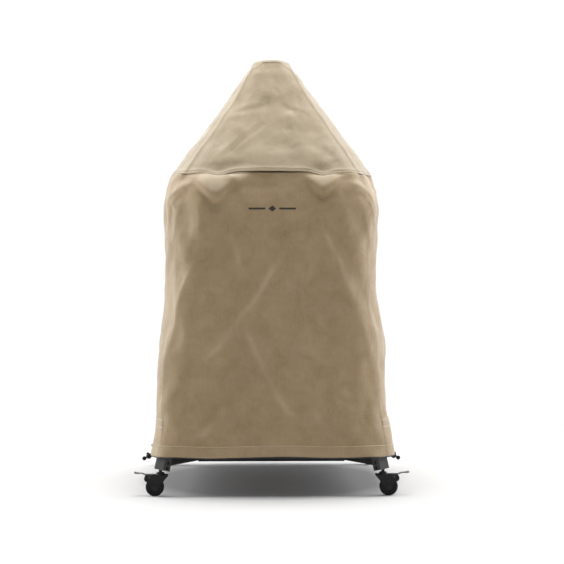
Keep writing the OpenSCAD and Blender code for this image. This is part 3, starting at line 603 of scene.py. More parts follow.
def sheet_object(name, P, thick, uv, worn=None, wrap=False, N=None):
    """A closed thin sheet: P is its outer face, and it is thick mm deep."""
    m, n, _ = P.shape
    if N is None:
        N = normals_of(P, wrap)
    inner = P - N * thick
    o = m * n
    f = [grid_faces(m, n, wrap), grid_faces(m, n, wrap, o)[:, ::-1]]
    i = np.arange(n if wrap else n - 1)
    i1 = (i + 1) % n
    f.append(np.stack([i, o + i, o + i1, i1], -1))
    b = (m - 1) * n
    f.append(np.stack([b + i, b + i1, o + b + i1, o + b + i], -1))
    if not wrap:
        j = np.arange(m - 1)
        f.append(np.stack([j * n, (j + 1) * n, o + (j + 1) * n, o + j * n], -1))
        e = j * n + n - 1
        f.append(np.stack([e, o + e, o + e + n, e + n], -1))
    verts = np.concatenate([P.reshape(-1, 3), inner.reshape(-1, 3)])
    uv2 = np.concatenate([uv.reshape(-1, 2)] * 2)
    w2 = None if worn is None else np.concatenate([worn.ravel(), worn.ravel()])
    ob = mesh_object(name, verts, np.concatenate(f).tolist(), uv2, w2)
    if not wrap:
        soft = np.zeros(len(ob.data.polygons), bool)
        soft[:len(f[0]) + len(f[1]) + len(f[2]) + len(f[3])] = True
        ob.data.polygons.foreach_set("use_smooth", soft)
        ob.data.update()
    return ob


def area_of(P):
    a = np.linalg.norm(np.cross(P[1:, :-1] - P[:-1, :-1], P[1:, 1:] - P[:-1, :-1]), axis=-1).sum() / 2
    b = np.linalg.norm(np.cross(P[:-1, 1:] - P[:-1, :-1], P[1:, 1:] - P[:-1, :-1]), axis=-1).sum() / 2
    return float(a + b)


def tube_object(name, path, radius, sides=14, closed=False, pitch=None):
    """A tube of cord along path, with cloth coordinates: length along it, and round it."""
    p = np.asarray(path, float)
    n = len(p)
    if closed:
        t = np.roll(p, -1, 0) - np.roll(p, 1, 0)
    else:
        t = np.gradient(p, axis=0)
    t /= np.linalg.norm(t, axis=1, keepdims=True)
    ref = np.array([0, 0, 1.0])
    a = np.cross(t, ref)
    a /= np.linalg.norm(a, axis=1, keepdims=True)
    b = np.cross(a, t)
    ang = np.linspace(0, 2 * math.pi, sides, endpoint=False)
    ring = radius * (np.cos(ang)[None, :, None] * a[:, None] + np.sin(ang)[None, :, None] * b[:, None])
    P = p[:, None] + ring
    dist = np.concatenate([[0], np.cumsum(np.linalg.norm(np.diff(p, axis=0), axis=1))])
    uv = np.stack(np.broadcast_arrays(dist[:, None], ang[None] * radius), -1)
    faces = grid_faces(n, sides, True)[:, ::-1].tolist()
    if closed:
        i = np.arange(sides)
        i1 = (i + 1) % sides
        faces += np.stack([(n - 1) * sides + i, i, i1, (n - 1) * sides + i1], -1)[:, ::-1].tolist()
        return mesh_object(name, P.reshape(-1, 3), faces, uv.reshape(-1, 2))
    faces += [list(range(sides)), list(range((n - 1) * sides, n * sides))[::-1]]
    return mesh_object(name, P.reshape(-1, 3), faces, uv.reshape(-1, 2))


def stitch_object(name, rows, length=3.1, gap=1.1, radius=0.42, lift=0.18):
    """Rows of thread: each row is (points, normals) along a seam, one small loop per stitch."""
    V, F, o = [], [], 0
    ang = np.linspace(0, 2 * math.pi, 5, endpoint=False)
    for pts, nor in rows:
        d = np.concatenate([[0], np.cumsum(np.linalg.norm(np.diff(pts, axis=0), axis=1))])
        n = int(d[-1] // (length + gap))
        if n < 1:
            continue
        mid = (np.arange(n) + 0.5) * d[-1] / n
        at = lambda q: np.stack([np.interp(q, d, pts[:, c]) for c in range(3)], -1)
        c0, c1 = at(mid - length / 2), at(mid + length / 2)
        up = np.stack([np.interp(mid, d, nor[:, c]) for c in range(3)], -1)
        up /= np.linalg.norm(up, axis=1, keepdims=True)
        mm = (c0 + c1) / 2
        t = (c1 - c0)
        t /= np.linalg.norm(t, axis=1, keepdims=True)
        side = np.cross(t, up)
        loops = []
        for f, rad, hh in ((-0.5, 0.0, -0.25), (-0.28, 1.0, lift), (0.28, 1.0, lift), (0.5, 0.0, -0.25)):
            c = mm + t * f * length + up * hh
            if rad == 0:
                loops.append(c[:, None])
            else:
                loops.append(c[:, None] + radius * (np.cos(ang)[None, :, None] * side[:, None]
                                                    + np.sin(ang)[None, :, None] * up[:, None]))
        P = np.concatenate(loops, 1)     # 1 + 5 + 5 + 1
        V.append(P.reshape(-1, 3))
        one = []
        for i in range(5):
            i1 = (i + 1) % 5
            one += [[0, 1 + i1, 1 + i], [1 + i, 1 + i1, 6 + i1, 6 + i], [11, 6 + i, 6 + i1]]
        for q in range(n):
            b = o + q * 12
            F += [[b + v for v in f] for f in one]
        o += n * 12
    return mesh_object(name, np.concatenate(V), F)


def ride(ob, body="cover", mat=None, node=None):
    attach(ob, body)
    if node:
        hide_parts(*([node] if isinstance(node, str) else node))
    if mat:
        ob.data.materials.clear()
        ob.data.materials.append(mat)
    return ob


# ------------------------------------------------------------------ materials
class Mat:
    """A material being wired up."""

    def __init__(self, name):
        self.m = bpy.data.materials.new(name)
        self.m.use_nodes = True
        self.t = self.m.node_tree
        self.t.nodes.clear()
        self.out = self.node("ShaderNodeOutputMaterial")
        self.p = self.node("ShaderNodeBsdfPrincipled")
        self.link(self.p.outputs[0], self.out.inputs[0])

    def node(self, kind, **kw):
        n = self.t.nodes.new(kind)
        for k, v in kw.items():
            setattr(n, k, v)
        return n

    def link(self, a, b):
        self.t.links.new(a, b)

    def put(self, sock, v):
        if isinstance(v, bpy.types.NodeSocket):
            self.link(v, sock)
        else:
            sock.default_value = v

    def math(self, op, a, b=0.0, clamp=False):
        n = self.node("ShaderNodeMath", operation=op, use_clamp=clamp)
        self.put(n.inputs[0], a)
        self.put(n.inputs[1], b)
        return n.outputs[0]

    def noise(self, vec, scale, detail=3.0, rough=0.55, dist=0.0):
        n = self.node("ShaderNodeTexNoise")
        self.put(n.inputs["Vector"], vec)
        n.inputs["Scale"].default_value = scale
        n.inputs["Detail"].default_value = detail
        n.inputs["Roughness"].default_value = rough
        n.inputs["Distortion"].default_value = dist
        return n.outputs["Fac"]

    def scaled(self, vec, xyz):
        n = self.node("ShaderNodeVectorMath", operation="MULTIPLY")
        self.put(n.inputs[0], vec)
        n.inputs[1].default_value = xyz
        return n.outputs[0]

    def span(self, v, a, b, c=0.0, d=1.0):
        n = self.node("ShaderNodeMapRange")
        self.put(n.inputs[0], v)
        for i, x in zip((1, 2, 3, 4), (a, b, c, d)):
            n.inputs[i].default_value = x
        return n.outputs[0]

    def mix(self, f, a, b, kind="MIX"):
        n = self.node("ShaderNodeMix", data_type="RGBA", blend_type=kind)
        self.put(n.inputs[0], f)
        self.put(n.inputs[6], a)
        self.put(n.inputs[7], b)
        return n.outputs[2]

    def bump(self, h, dist, strength=1.0, normal=None):
        n = self.node("ShaderNodeBump")
        self.put(n.inputs["Height"], h)
        n.inputs["Distance"].default_value = dist
        n.inputs["Strength"].default_value = strength
        if normal is not None:
            self.link(normal, n.inputs["Normal"])
        return n.outputs[0]

    def set(self, **kw):
        for k, v in kw.items():
            self.put(self.p.inputs[k.replace("_", " ")], v)
        return self


def rgb(r, g, b):
    f = lambda c: ((c / 255 + 0.055) / 1.055) ** 2.4 if c > 10 else c / 255 / 12.92
    return (f(r), f(g), f(b), 1.0)


def canvas(name, base, pale, dark, weave=1.5, sheen=0.65):
    """Heavy woven canvas: plain weave, uneven yarns, soft mottling, with painted highlights on fold crests, seams and
    sag tops and painted shade in sunken folds and under the crown cap's edge.
    """
    m = Mat(name)
    uv = m.node("ShaderNodeUVMap", uv_map="cloth").outputs[0]
    ob = m.node("ShaderNodeTexCoord").outputs["Object"]
    xyz = m.node("ShaderNodeSeparateXYZ")
    m.link(uv, xyz.inputs[0])
    k = 2 * math.pi / (weave / 1000)
    su = m.math("SINE", m.math("MULTIPLY", xyz.outputs[0], k))
    sv = m.math("SINE", m.math("MULTIPLY", xyz.outputs[1], k))
    over = m.math("MULTIPLY", su, sv)
    yarn_u = m.noise(m.scaled(uv, (1000, 38, 0)), 1.0, 2.0)
    yarn_v = m.noise(m.scaled(uv, (38, 1000, 0)), 1.0, 2.0)
    yarns = m.math("ADD", yarn_u, yarn_v)
    patches = m.noise(ob, 5.0, 5.0, 0.6, 0.3)
    clouds = m.noise(ob, 17.0, 4.0, 0.6, 0.6)
    grain = m.noise(ob, 130.0, 3.0, 0.6)
    streak = m.noise(m.scaled(uv, (260, 9, 0)), 1.0, 3.0)
    worn = m.node("ShaderNodeAttribute", attribute_name="worn").outputs["Fac"]
    c = m.mix(m.span(patches, 0.32, 0.68), dark, base)
    c = m.mix(m.math("MULTIPLY", m.span(clouds, 0.35, 0.8), 0.36), c, pale)
    c = m.mix(m.math("MULTIPLY", m.span(yarns, 0.75, 1.3), 0.30), c, pale)
    c = m.mix(m.math("MULTIPLY", m.span(streak, 0.35, 0.65), 0.09), c, pale)
    c = m.mix(m.math("MULTIPLY", m.span(over, -1, 1, 1, 0), 0.12), c, dark)
    # painted light from the mesh's values: the pale mixes are painted highlights (with some edge wear, and the palest
    # also takes the side bands' stitch lines); the dark mixes are painted shade in sunken folds, and the near-black one
    # is painted shade under the crown cap's edge
    c = m.mix(m.math("MULTIPLY", m.span(worn, 0.0, 1.4), 0.56), c, pale)
    c = m.mix(m.math("MULTIPLY", m.span(worn, 0.0, -1.0), 0.34), c, dark)
    c = m.mix(m.math("MULTIPLY", m.span(worn, -1.2, -2.4), 0.75), c, (0.09, 0.065, 0.04, 1))
    c = m.mix(m.math("MULTIPLY", m.span(worn, 1.5, 3.0), 0.8), c, (0.66, 0.60, 0.50, 1))
    n1 = m.bump(clouds, 0.0045, 0.55)
    n2 = m.bump(grain, 0.0007, 0.6, n1)
    n3 = m.bump(yarns, 0.0005, 0.6, n2)
    n4 = m.bump(over, 0.00022, 0.8, n3)
    m.set(Base_Color=c, Roughness=m.span(clouds, 0.3, 0.7, 0.74, 0.86), Normal=n4)
    m.p.inputs["Specular IOR Level"].default_value = 0.35
    m.p.inputs["Sheen Weight"].default_value = sheen
    m.p.inputs["Sheen Roughness"].default_value = 0.45
    m.p.inputs["Sheen Tint"].default_value = (1.0, 0.98, 0.95, 1)
    return m.m


def thread(name, base):
    m = Mat(name)
    ob = m.node("ShaderNodeTexCoord").outputs["Object"]
    a = m.noise(ob, 900.0, 2.0)
    b = m.noise(ob, 30.0, 2.0)
    c = m.mix(m.span(b, 0.3, 0.7), base, tuple(0.75 * v for v in base[:3]) + (1,))
    m.set(Base_Color=c, Roughness=m.span(a, 0.3, 0.7, 0.5, 0.7), Normal=m.bump(a, 0.0003, 0.5))
    m.p.inputs["Sheen Weight"].default_value = 0.2
    return m.m


def coated(name, base, pale, rough=0.42, spot=0.25):
    """Powder-coated steel: fine orange peel, faint dust and rubbed places."""
    m = Mat(name)
    ob = m.node("ShaderNodeTexCoord").outputs["Object"]
    peel = m.noise(ob, 700.0, 2.0, 0.5)
    dust = m.noise(ob, 22.0, 5.0, 0.65)
    rub = m.noise(ob, 90.0, 4.0, 0.7, 0.8)
    c = m.mix(m.math("MULTIPLY", m.span(dust, 0.45, 0.8), spot), base, pale)
    c = m.mix(m.math("MULTIPLY", m.span(rub, 0.62, 0.8), spot * 0.8), c, pale)
    m.set(Base_Color=c, Roughness=m.span(dust, 0.3, 0.7, rough - 0.06, rough + 0.12),
          Normal=m.bump(peel, 0.00025, 0.5))
    m.p.inputs["Specular IOR Level"].default_value = 0.28
    return m.m


def rubber(name, base, pale):
    m = Mat(name)
    ob = m.node("ShaderNodeTexCoord").outputs["Object"]
    fine = m.noise(ob, 1100.0, 2.0)
    dust = m.noise(ob, 60.0, 5.0, 0.65, 0.5)
    c = m.mix(m.math("MULTIPLY", m.span(dust, 0.4, 0.75), 0.35), base, pale)
    m.set(Base_Color=c, Roughness=m.span(dust, 0.3, 0.7, 0.55, 0.75), Normal=m.bump(fine, 0.0003, 0.6))
    m.p.inputs["Specular IOR Level"].default_value = 0.25
    return m.m


def moulded(name, base, rough):
    m = Mat(name)
    ob = m.node("ShaderNodeTexCoord").outputs["Object"]
    fine = m.noise(ob, 520.0, 2.0)
    scuff = m.noise(ob, 75.0, 4.0, 0.7, 1.0)
    c = m.mix(m.math("MULTIPLY", m.span(scuff, 0.5, 0.8), 0.2), base, (0.05, 0.05, 0.05, 1))
    m.set(Base_Color=c, Roughness=m.span(scuff, 0.3, 0.75, rough, rough + 0.2),
          Normal=m.bump(fine, 0.00015, 0.4))
    m.p.inputs["Specular IOR Level"].default_value = 0.3
    return m.m


def zinc_plated(name):
    m = Mat(name)
    ob = m.node("ShaderNodeTexCoord").outputs["Object"]
    brushed = m.noise(m.scaled(ob, (120, 900, 120)), 1.0, 3.0)
    blot = m.noise(ob, 45.0, 4.0, 0.6, 0.8)
    c = m.mix(m.span(blot, 0.3, 0.7), (0.095, 0.095, 0.093, 1), (0.15, 0.149, 0.144, 1))
    m.set(Base_Color=c, Roughness=m.span(blot, 0.3, 0.7, 0.3, 0.5), Normal=m.bump(brushed, 0.0002, 0.35))
    m.p.inputs["Metallic"].default_value = 0.6
    return m.m


def braid(name):
    """Black elastic cord in a woven sleeve."""
    m = Mat(name)
    uv = m.node("ShaderNodeUVMap", uv_map="cloth").outputs[0]
    xyz = m.node("ShaderNodeSeparateXYZ")
    m.link(uv, xyz.inputs[0])
    k = 2 * math.pi / 0.0018
    a = m.math("SINE", m.math("MULTIPLY", m.math("ADD", xyz.outputs[0], xyz.outputs[1]), k))
    b = m.math("SINE", m.math("MULTIPLY", m.math("SUBTRACT", xyz.outputs[0], xyz.outputs[1]), k))
    h = m.math("MULTIPLY", a, b)
    c = m.mix(m.span(h, -1, 1), (0.006, 0.006, 0.006, 1), (0.03, 0.03, 0.031, 1))
    m.set(Base_Color=c, Roughness=m.span(h, -1, 1, 0.65, 0.45), Normal=m.bump(h, 0.0003, 0.8))
    m.p.inputs["Sheen Weight"].default_value = 0.15
    return m.m


BASE, PALE, DARK = rgb(153, 128, 90), rgb(191, 173, 144), rgb(138, 114, 79)
M_BODY = canvas("canvas_body", BASE, PALE, DARK)
# the roof canvas is a less saturated copy of the body canvas, standing in for the sheen the top light gives the roof:
# painted sheen
M_ROOF = canvas("canvas_roof", rgb(146, 129, 99), rgb(187, 172, 147), rgb(133, 117, 88))
M_TAPE = canvas("canvas_tape", rgb(152, 132, 104), rgb(172, 154, 128), rgb(142, 122, 95), weave=1.1)
M_BAND = canvas("canvas_band", rgb(161, 139, 109), rgb(184, 166, 139), rgb(152, 130, 101))
M_THREAD = thread("thread", rgb(176, 158, 130))
M_PRINT = thread("dark_thread", rgb(38, 36, 33))
M_STEEL = coated("frame_steel", (0.0075, 0.0075, 0.0073, 1), (0.022, 0.022, 0.021, 1), 0.46)
M_LEG = coated("leg_steel", (0.064, 0.064, 0.062, 1), (0.10, 0.10, 0.096, 1), 0.5)
M_HARD = coated("black_hardware", (0.008, 0.008, 0.008, 1), (0.03, 0.03, 0.03, 1), 0.32)
M_CASTER = moulded("caster_black", (0.005, 0.005, 0.005, 1), 0.42)
M_HUB = moulded("caster_hub", (0.009, 0.009, 0.009, 1), 0.4)
M_TYRE = rubber("tyre", (0.007, 0.007, 0.007, 1), (0.024, 0.024, 0.023, 1))
M_ZINC = zinc_plated("zinc")
M_CORD = braid("drawcord")
M_FIT = moulded("cord_fittings", (0.0035, 0.0035, 0.0035, 1), 0.28)

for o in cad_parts.values():
    name = o.name
    mat = M_STEEL
    for key, mm in (("leg_bolts", M_HARD), ("leg_", M_LEG), ("fork_", M_CASTER), ("axle_", M_HARD),
                    ("hub_", M_HUB), ("tyre_", M_TYRE), ("brake_", M_ZINC), ("caster_studs", M_HARD),
                    ("cord_", M_FIT), ("lock_button", M_FIT)):
        if name.startswith(key):
            mat = mm
            break
    for i in range(len(o.data.materials)):
        o.data.materials[i] = mat
    if not len(o.data.materials):
        o.data.materials.append(mat)

# ------------------------------------------------------------------ cloth panels
SIDES = ["front", "right", "rear", "left"]
THICK = 1.5
report = {}
panels = {}
for top, label, mat, slot in ((False, "body", M_BODY, "canvas_body"), (True, "cone", M_ROOF, "canvas_roof")):
    for k, side in enumerate(SIDES):
        fine = k == 0
        s, z = panel_grid(k, top, 5.0 if fine else 6.5, 5.2)
        P, _, worn = cloth(k, s, z, top)
        climb = np.sqrt(1 + (RW_(z) if top else BW_(z)) ** 2)
        v = np.cumsum(np.concatenate([np.zeros((1, s.shape[1])), np.diff(z, axis=0) * climb[1:]]), axis=0)
        uv = np.stack([s + 1200 * k, v + (1300 if top else 0)], -1)
        ob = sheet_object(f"canvas_{label}_{side}", P, THICK, uv, worn)
        ride(ob, "cover", mat, f"{label}_{side}")
        base, _ = place(k, s, z, top)
        wide = float(s.max() - s.min())
        tall = float(v.max())
        report[ob.name] = [round(wide / 1000, 3), round(tall / 1000, 3), round(area_of(base) / 1e6, 4)]
        panels[(label, k)] = (ob, wide / 1000, tall / 1000, area_of(base) / 1e6)


def full_ring(z_of, top, off, step=9.0, skip=None):
    """Points and normals all the way round the cloth; z_of(k, s) gives the height."""
    pts, nor, run = [], [], []
    for k in range(4):
        h = float(half(k, np.array(SHOULDER if top else HEM), top))
        n = max(8, int(2 * h / step))
        share = np.linspace(-1, 1, n, endpoint=False)
        z = z_of(k, share * h)
        for _ in range(3):
            s = share * half(k, z, top)
            z = z_of(k, s)
        s = share * half(k, z, top)
        p, nn, _ = cloth(k, s, z, top, off)
        pts.append(p)
        nor.append(nn)
    return np.concatenate(pts), np.concatenate(nor)


# crown cap: from its seam up over the rounded top
def crown_object():
    cols, S, K = [], [], []
    for k in range(4):
        n = 30
        for sh in np.linspace(-1, 1, n, endpoint=False):
            S.append(sh)
            K.append(k)
    S, K = np.array(S), np.array(K)
    rows = []
    ups = np.array([0, 0.5, 1.2, 2.4, 4.0, 5.4, 6.4, 7.4, 9.0]) / 32
    t = np.concatenate([ups, np.linspace(0.36, 1.0, 10)])
    for f in t:
        row = np.zeros((len(S), 3))
        for k in range(4):
            m = K == k
            h0 = float(half(k, np.array(CROWN_Z), True))
            zc = crown_height(k, S[m] * h0) - 2.5
            z = zc + (1624 - zc) * f
            s = S[m] * half(k, z, True)
            p, n = place(k, s, z, True)
            up = z - zc
            lift = -1.6 * smooth((up - 3) / 14) + 0.5 + 0.5 * (1 - smooth((up - 7.5) / 1.5)) - 1.6 * bump(up, 0, 0.9) - 0.6 * bump(up, 5.8, 1.0)
            lift = lift + ripple(p) * 0.35
            fade = 1 - 0.9 * smooth((f - 0.85) / 0.15)
            row[m] = p + n * (lift * fade)[:, None]
        rows.append(row)
    last = rows[-1]
    c = last.mean(0)
    for g in (0.9, 0.78, 0.62, 0.44, 0.26, 0.1, 0.02):
        r = c + (last - c) * g
        r[:, 2] = last[:, 2] + (1624.9 - last[:, 2]) * (1 - g) ** 0.8 + 0.25 * np.sin(r[:, 0] * 0.11) * np.cos(r[:, 1] * 0.09) * (1 - g)
        rows.append(r)
    P = np.array(rows)
    uv = np.stack([P[..., 0] + 5000, P[..., 1] + P[..., 2]], -1)
    m, n, _ = P.shape
    N = normals_of(P, True)
    inner = P - N * THICK
    o = m * n
    faces = grid_faces(m, n, True).tolist() + grid_faces(m, n, True, o)[:, ::-1].tolist()
    i = np.arange(n)
    i1 = (i + 1) % n
    faces += np.stack([i, o + i, o + i1, i1], -1).tolist()
    faces.append([(m - 1) * n + q for q in range(n)])
    faces.append([o + (m - 1) * n + q for q in range(n)][::-1])
    V = np.concatenate([P.reshape(-1, 3), inner.reshape(-1, 3)])
    return mesh_object("canvas_crown_cap", V, faces, np.concatenate([uv.reshape(-1, 2)] * 2),
                       np.zeros(len(V))), area_of(P) / 1e6


crown, crown_area = crown_object()
ride(crown, "cover", M_ROOF, "crown_cap")


# ------------------------------------------------------------------ tapes and bands
def ring_band(name, zs, top_of, off, thick, mat, node):
    rows, tops = [], []
    for f in zs:
        p, _ = full_ring(lambda k, s, f=f: f(k, s), top_of(f), off, 12.0)
        rows.append(p)
    n = min(len(r) for r in rows)
    P = np.array([r[:n] for r in rows])
    d = np.concatenate([[0], np.cumsum(np.linalg.norm(np.diff(P[0], axis=0), axis=1))])
    v = np.concatenate([[0], np.cumsum(np.linalg.norm(np.diff(P[:, 0], axis=0), axis=1))])
    uv = np.stack(np.broadcast_arrays(d[None, :], v[:, None]), -1)
    ob = sheet_object(name, P, thick, uv, np.zeros(P.shape[:2]), wrap=True)
    ride(ob, "cover", mat, node)
    return ob, d[-1] / 1000, v[-1] / 1000


hem_facing, hf_w, hf_h = ring_band(
    "hem_facing", [lambda k, s, q=q: hem_height(k, s) + q for q in (1.2, 8, 16, 24, 32, 37)],
    lambda f: False, THICK + 0.5, 1.0, M_BAND, "hem_band")
shoulder_tape, st_w, st_h = ring_band(
    "shoulder_tape", [lambda k, s, q=q: seam_z(k, s) + q for q in (-13, -9, -5, -1.5)],
    lambda f: False, THICK + 0.5, 0.9, M_TAPE, "shoulder_binding")
crown_tape, ct_w, ct_h = ring_band(
    "crown_tape", [lambda k, s, q=q: crown_height(k, s) + q for q in (-12, -8, -4, -1.5)],
    lambda f: True, THICK + 0.6, 0.9, M_TAPE, "crown_binding")


def strip(k, z, top, off, reach):
    """Cross lines of a tape centred on the corner seam between side k and side k + 1."""
    a = [cloth(k, half(k, z, top) - e, z, top, off)[0] for e in (reach, reach * 0.55, 2.6)]
    b = [cloth((k + 1) % 4, -half((k + 1) % 4, z, top) + e, z, top, off)[0] for e in (2.6, reach * 0.55, reach)]
    return np.stack(a + b, 1)


def tapes(name, z, top, node):
    V, F, U, o = [], [], [], 0
    for k in range(4):
        P = strip(k, z, top, THICK + 0.55, 13.0)
        m, n, _ = P.shape
        inner = P - normals_of(P) * 0.8
        V += [P.reshape(-1, 3), inner.reshape(-1, 3)]
        q = o + m * n
        F += (grid_faces(m, n, False, o)).tolist() + grid_faces(m, n, False, q)[:, ::-1].tolist()
        i = np.arange(n - 1)
        F += (np.stack([i + o, q + i, q + i + 1, i + 1 + o], -1)).tolist()
        b = (m - 1) * n
        F += (np.stack([b + i + o, b + i + 1 + o, q + b + i + 1, q + b + i], -1)).tolist()
        j = np.arange(m - 1)
        F += np.stack([j * n + o, (j + 1) * n + o, q + (j + 1) * n, q + j * n], -1).tolist()
        e = j * n + n - 1
        F += np.stack([e + o, q + e, q + e + n, e + n + o], -1).tolist()
        uv = np.stack(np.broadcast_arrays(np.linspace(0, 26, n)[None], z[:, None]), -1).reshape(-1, 2)
        U += [uv, uv]
        o += 2 * m * n
    ob = mesh_object(name, np.concatenate(V), F, np.concatenate(U), np.zeros(o))
    return ride(ob, "cover", M_TAPE, node)


corner_tape = tapes("corner_seam_tapes", np.linspace(HEM + 44, SHOULDER - 22, 90), False, "corner_tapes")
ridge_tape = tapes("ridge_seam_tapes", np.linspace(SHOULDER + 18, CROWN_Z - 14, 40), True, "ridge_tapes")

# reinforcement bands across the side panels
BAND_Z, BAND_H = 239.0, 38.0
for k, side in ((1, "right"), (3, "left")):
    zz = BAND_Z + np.array([0, 0.7, 1.8, 4.0, 5.2, 6.4, 12, 19, 26, 31.6, 32.8, 34, 36.2, 37.3, 38])
    n = 130
    share = np.linspace(-1, 1, n)
    z = np.repeat(zz[:, None], n, 1)
    s = share[None] * (half(k, z, False) - 2)
    P, N, w = cloth(k, s, z, False)
    u = z - BAND_Z
    proud = 0.85 - 0.5 * bump(u, 0, 0.9) - 0.5 * bump(u, BAND_H, 0.9) - 0.45 * bump(u, 5.2, 1.1) - 0.45 * bump(u, 32.8, 1.1)
    proud = 0.35 + (proud - 0.35) * smooth((half(k, z, False) - 2 - np.abs(s)) / 9)
    w = w + 3.0 * bump(u, 5.2, 1.9) + 3.0 * bump(u, 32.8, 1.9)
    P = P + N * proud[..., None]
    ob = sheet_object(f"side_band_{side}", P, 1.1, np.stack([s + 7000 + 900 * k, z], -1), w)
    ride(ob, "cover", M_BAND, "side_bands")

# ------------------------------------------------------------------ drawcord in the hem
ring_pts = []
for k in range(4):
    h = float(half(k, np.array(HEM), False))
    s = np.linspace(-h, h, 110, endpoint=False)
    z = hem_height(k, s)
    p, n, _ = cloth(k, s, z, False)
    # the seam steps are left out, so the cord runs smoothly along the middle of the lip
    q, nn = place(k, s, z, False)
    d, _ = shaped(k, s, z, False)
    q = q + nn * (d - 1.9)[:, None]
    q[:, 2] = z - 2.45
    ring_pts.append(q)
ring_pts = np.concatenate(ring_pts)
# the ring is open for a few centimetres at each eyelet, where its ends come out
gone = (np.abs(np.abs(ring_pts[:, 0]) - 441) < 24) & (np.abs(ring_pts[:, 1] + 300) < 12)
runs, run = [], []
start = int(np.argmax(gone))
for i in range(len(ring_pts)):
    j = (start + i) % len(ring_pts)
    if gone[j]:
        if len(run) > 3:
            runs.append(run)
        run = []
    else:
        run.append(ring_pts[j])
if len(run) > 3:
    runs.append(run)
for i, r in enumerate(runs):
    ob = tube_object(f"hem_cord_{'ab'[i] if i < 2 else i}", np.array(r), 2.2, 12)
    ride(ob, "cover", M_CORD, "hem_drawcord")

# ------------------------------------------------------------------ cord tails
DROOP = math.radians(27)
for side, sg in (("left", -1), ("right", 1)):
    o = np.array([sg * 434.0, -300.0, 138.0])
    d = np.array([sg * math.cos(DROOP), 0, -math.sin(DROOP)])
    path = np.array([o + d * q for q in np.linspace(-1, 39, 21)])
    ob = tube_object(f"drawcord_tail_{side}", path, 2.2, 14)
    ride(ob, "cover", M_CORD, f"cord_tail_{side}")

# ------------------------------------------------------------------ stitching
def seam_row(k, edge, z, top):
    s = np.sign(edge) * (half(k, z, top) - abs(edge))
    p, n, _ = cloth(k, s, z, top)
    return p, n


rows = []
zb, zr = np.linspace(HEM + 2, SHOULDER - 4, 420), np.linspace(SHOULDER + 4, CROWN_Z - 2, 260)
for k in range(4):
    for sg in (-1, 1):
        for e in ((2.8, 11.0) if k % 2 else (2.6,)):
            rows.append(seam_row(k, sg * e, zb, False))
            rows.append(seam_row(k, sg * e, zr, True))
ride(stitch_object("stitch_corner_seams", rows), "cover", M_THREAD)


def closed(pn):
    return np.concatenate([pn[0], pn[0][:1]]), np.concatenate([pn[1], pn[1][:1]])


ride(stitch_object("stitch_shoulder", [closed(full_ring(lambda k, s: seam_z(k, s) + 10.0, True, 0.0, 3.0))]),
     "cover", M_THREAD)
ride(stitch_object("stitch_hem", [closed(full_ring(lambda k, s: hem_height(k, s) + 37.2, False, 0.0, 3.0))],
                   length=3.4, radius=0.5), "cover", M_THREAD)
rows = []
for k in (1, 3):
    for zq in (BAND_Z + 5.2, BAND_Z + 32.8):
        s = np.linspace(-1, 1, 300) * (half(k, np.array(zq), False) - 5)
        p, n, _ = cloth(k, s, np.full(s.shape, zq), False)
        rows.append((p + n * 1.15, n))
ride(stitch_object("stitch_side_bands", rows), "cover", M_THREAD)

# ------------------------------------------------------------------ plain woven mark on the front
V, F, U, o = [], [], [], 0


def mark(outline, zc, off=0.55):
    """A raised flat shape of dark thread; outline is a list of (across, up from zc)."""
    global o
    q = np.array(outline, float)
    s, z = along(q[:, 0], 0, np.full(len(q), zc), False), zc + q[:, 1]
    p, n, _ = cloth(0, s, z, False)
    outer, inner = p + n * off, p - n * 0.4
    m = len(q)
    V.extend([outer, inner])
    F.append([o + i for i in range(m)])
    F.append([o + m + i for i in range(m)][::-1])
    for i in range(m):
        j = (i + 1) % m
        F.append([o + i, o + m + i, o + m + j, o + j])
    U.append(np.concatenate([q, q]))
    o += 2 * m


for x0, x1 in ((-84, -24), (26, 86)):
    for a in np.arange(x0, x1, 12.0):
        b = min(a + 12.0, x1)
        mark([(a, -3.2), (b, -3.2), (b, 3.2), (a, 3.2)], 1032.0)
mark([(1 + 14 * math.cos(t), 11 * math.sin(t)) for t in np.linspace(0, 2 * math.pi, 5)[:-1]], 1032.0)
mob = mesh_object("woven_mark", np.concatenate(V), F, np.concatenate(U), flat=True)
ride(mob, "cover", M_PRINT)

# ------------------------------------------------------------------ sheet sizes, printed
for (label, k), (ob, w, l, a) in panels.items():
    a = min(a, w * l)
print("SHEETS", json.dumps(report), "crown", round(crown_area, 4), "hem", round(hf_w, 3), hf_h, "shoulder", round(st_w, 3), st_h,
      "crown tape", round(ct_w, 3), ct_h)

# ------------------------------------------------------------------ floor and light
bpy.ops.mesh.primitive_grid_add(x_subdivisions=2, y_subdivisions=2, size=60, location=(0, 0, 0))
floor = bpy.context.object
floor.name = "floor"
fm = Mat("floor")
fo = fm.node("ShaderNodeTexCoord").outputs["Object"]
fn = fm.noise(fo, 3.0, 3.0)
painted_shadow_dist = fm.node("ShaderNodeVectorMath", operation="LENGTH")
fm.link(fo, painted_shadow_dist.inputs[0])
fn = fm.mix(fn, (0.70, 0.70, 0.70, 1), (0.72, 0.72, 0.72, 1))
# the floor is painted darker (0.44 against about 0.71) within 0.42 to 0.52 m of the middle: a painted shadow under the
# cover
fm.set(Base_Color=fm.mix(fm.span(painted_shadow_dist.outputs["Value"], 0.42, 0.52), (0.44, 0.44, 0.45, 1), fn), Roughness=0.6)
fm.p.inputs["Specular IOR Level"].default_value = 0.3
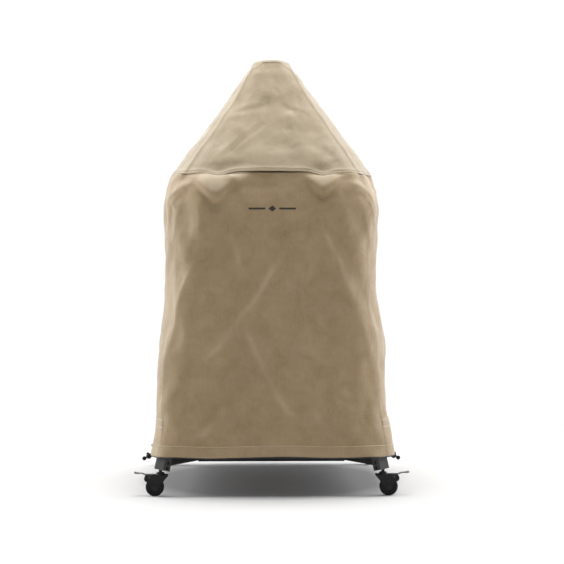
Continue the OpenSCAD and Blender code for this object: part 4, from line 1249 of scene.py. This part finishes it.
# further out the floor glows as white as the backdrop behind it
fl = fm.node("ShaderNodeVectorMath", operation="LENGTH")
fm.link(fo, fl.inputs[0])
fe = fm.node("ShaderNodeEmission")
fe.inputs[1].default_value = 1.02
fx = fm.node("ShaderNodeMixShader")
fm.link(fm.span(fl.outputs["Value"], 1.1, 2.7), fx.inputs[0])
fm.link(fm.p.outputs[0], fx.inputs[1])
fm.link(fe.outputs[0], fx.inputs[2])
fm.link(fx.outputs[0], fm.out.inputs[0])
floor.data.materials.append(fm.m)

world = bpy.data.worlds.new("studio")
bpy.context.scene.world = world
world.use_nodes = True
wt = world.node_tree
wt.nodes.clear()
wo = wt.nodes.new("ShaderNodeOutputWorld")
wb = wt.nodes.new("ShaderNodeBackground")
wb.inputs[0].default_value = (1, 1, 1, 1)
wb.inputs[1].default_value = 1.02
wd = wt.nodes.new("ShaderNodeBackground")
wd.inputs[0].default_value = (1, 1, 1, 1)
wm = wt.nodes.new("ShaderNodeMixShader")
wl = wt.nodes.new("ShaderNodeLightPath")
# the light that reaches the object is weakest from the front
wc = wt.nodes.new("ShaderNodeTexCoord")
ws = wt.nodes.new("ShaderNodeSeparateXYZ")
wt.links.new(wc.outputs["Generated"], ws.inputs[0])
wr = wt.nodes.new("ShaderNodeMapRange")
wr.inputs[1].default_value, wr.inputs[2].default_value = -0.9, 0.3
wr.inputs[3].default_value, wr.inputs[4].default_value = 0.26, 0.38
wt.links.new(ws.outputs[1], wr.inputs[0])
wt.links.new(wr.outputs[0], wd.inputs[1])
wt.links.new(wl.outputs["Is Camera Ray"], wm.inputs[0])
wt.links.new(wd.outputs[0], wm.inputs[1])
wt.links.new(wb.outputs[0], wm.inputs[2])
wt.links.new(wm.outputs[0], wo.inputs[0])


def area_light(name, loc, aim, sx, sy, power, color=(1, 1, 1)):
    d = bpy.data.lights.new(name, "AREA")
    d.shape = "RECTANGLE"
    d.size, d.size_y = sx, sy
    d.energy = power
    d.color = color
    ob = bpy.data.objects.new(name, d)
    bpy.context.scene.collection.objects.link(ob)
    ob.location = loc
    ob.rotation_euler = (Vector(aim) - Vector(loc)).to_track_quat("-Z", "Y").to_euler()
    ob.visible_camera = False
    return ob


area_light("top", (0, 0.0, 4.2), (0, 0.0, 0), 3.0, 3.0, 190)
area_light("left", (-3.0, 0.55, 1.5), (0, 0.0, 0.9), 2.0, 2.6, 105)
area_light("right", (3.0, 0.55, 1.5), (0, 0.0, 0.9), 2.0, 2.6, 105)

sc = bpy.context.scene
sc.view_settings.view_transform = "Standard"
sc.view_settings.look = "None"
sc.view_settings.exposure = 0
sc.view_settings.gamma = 1
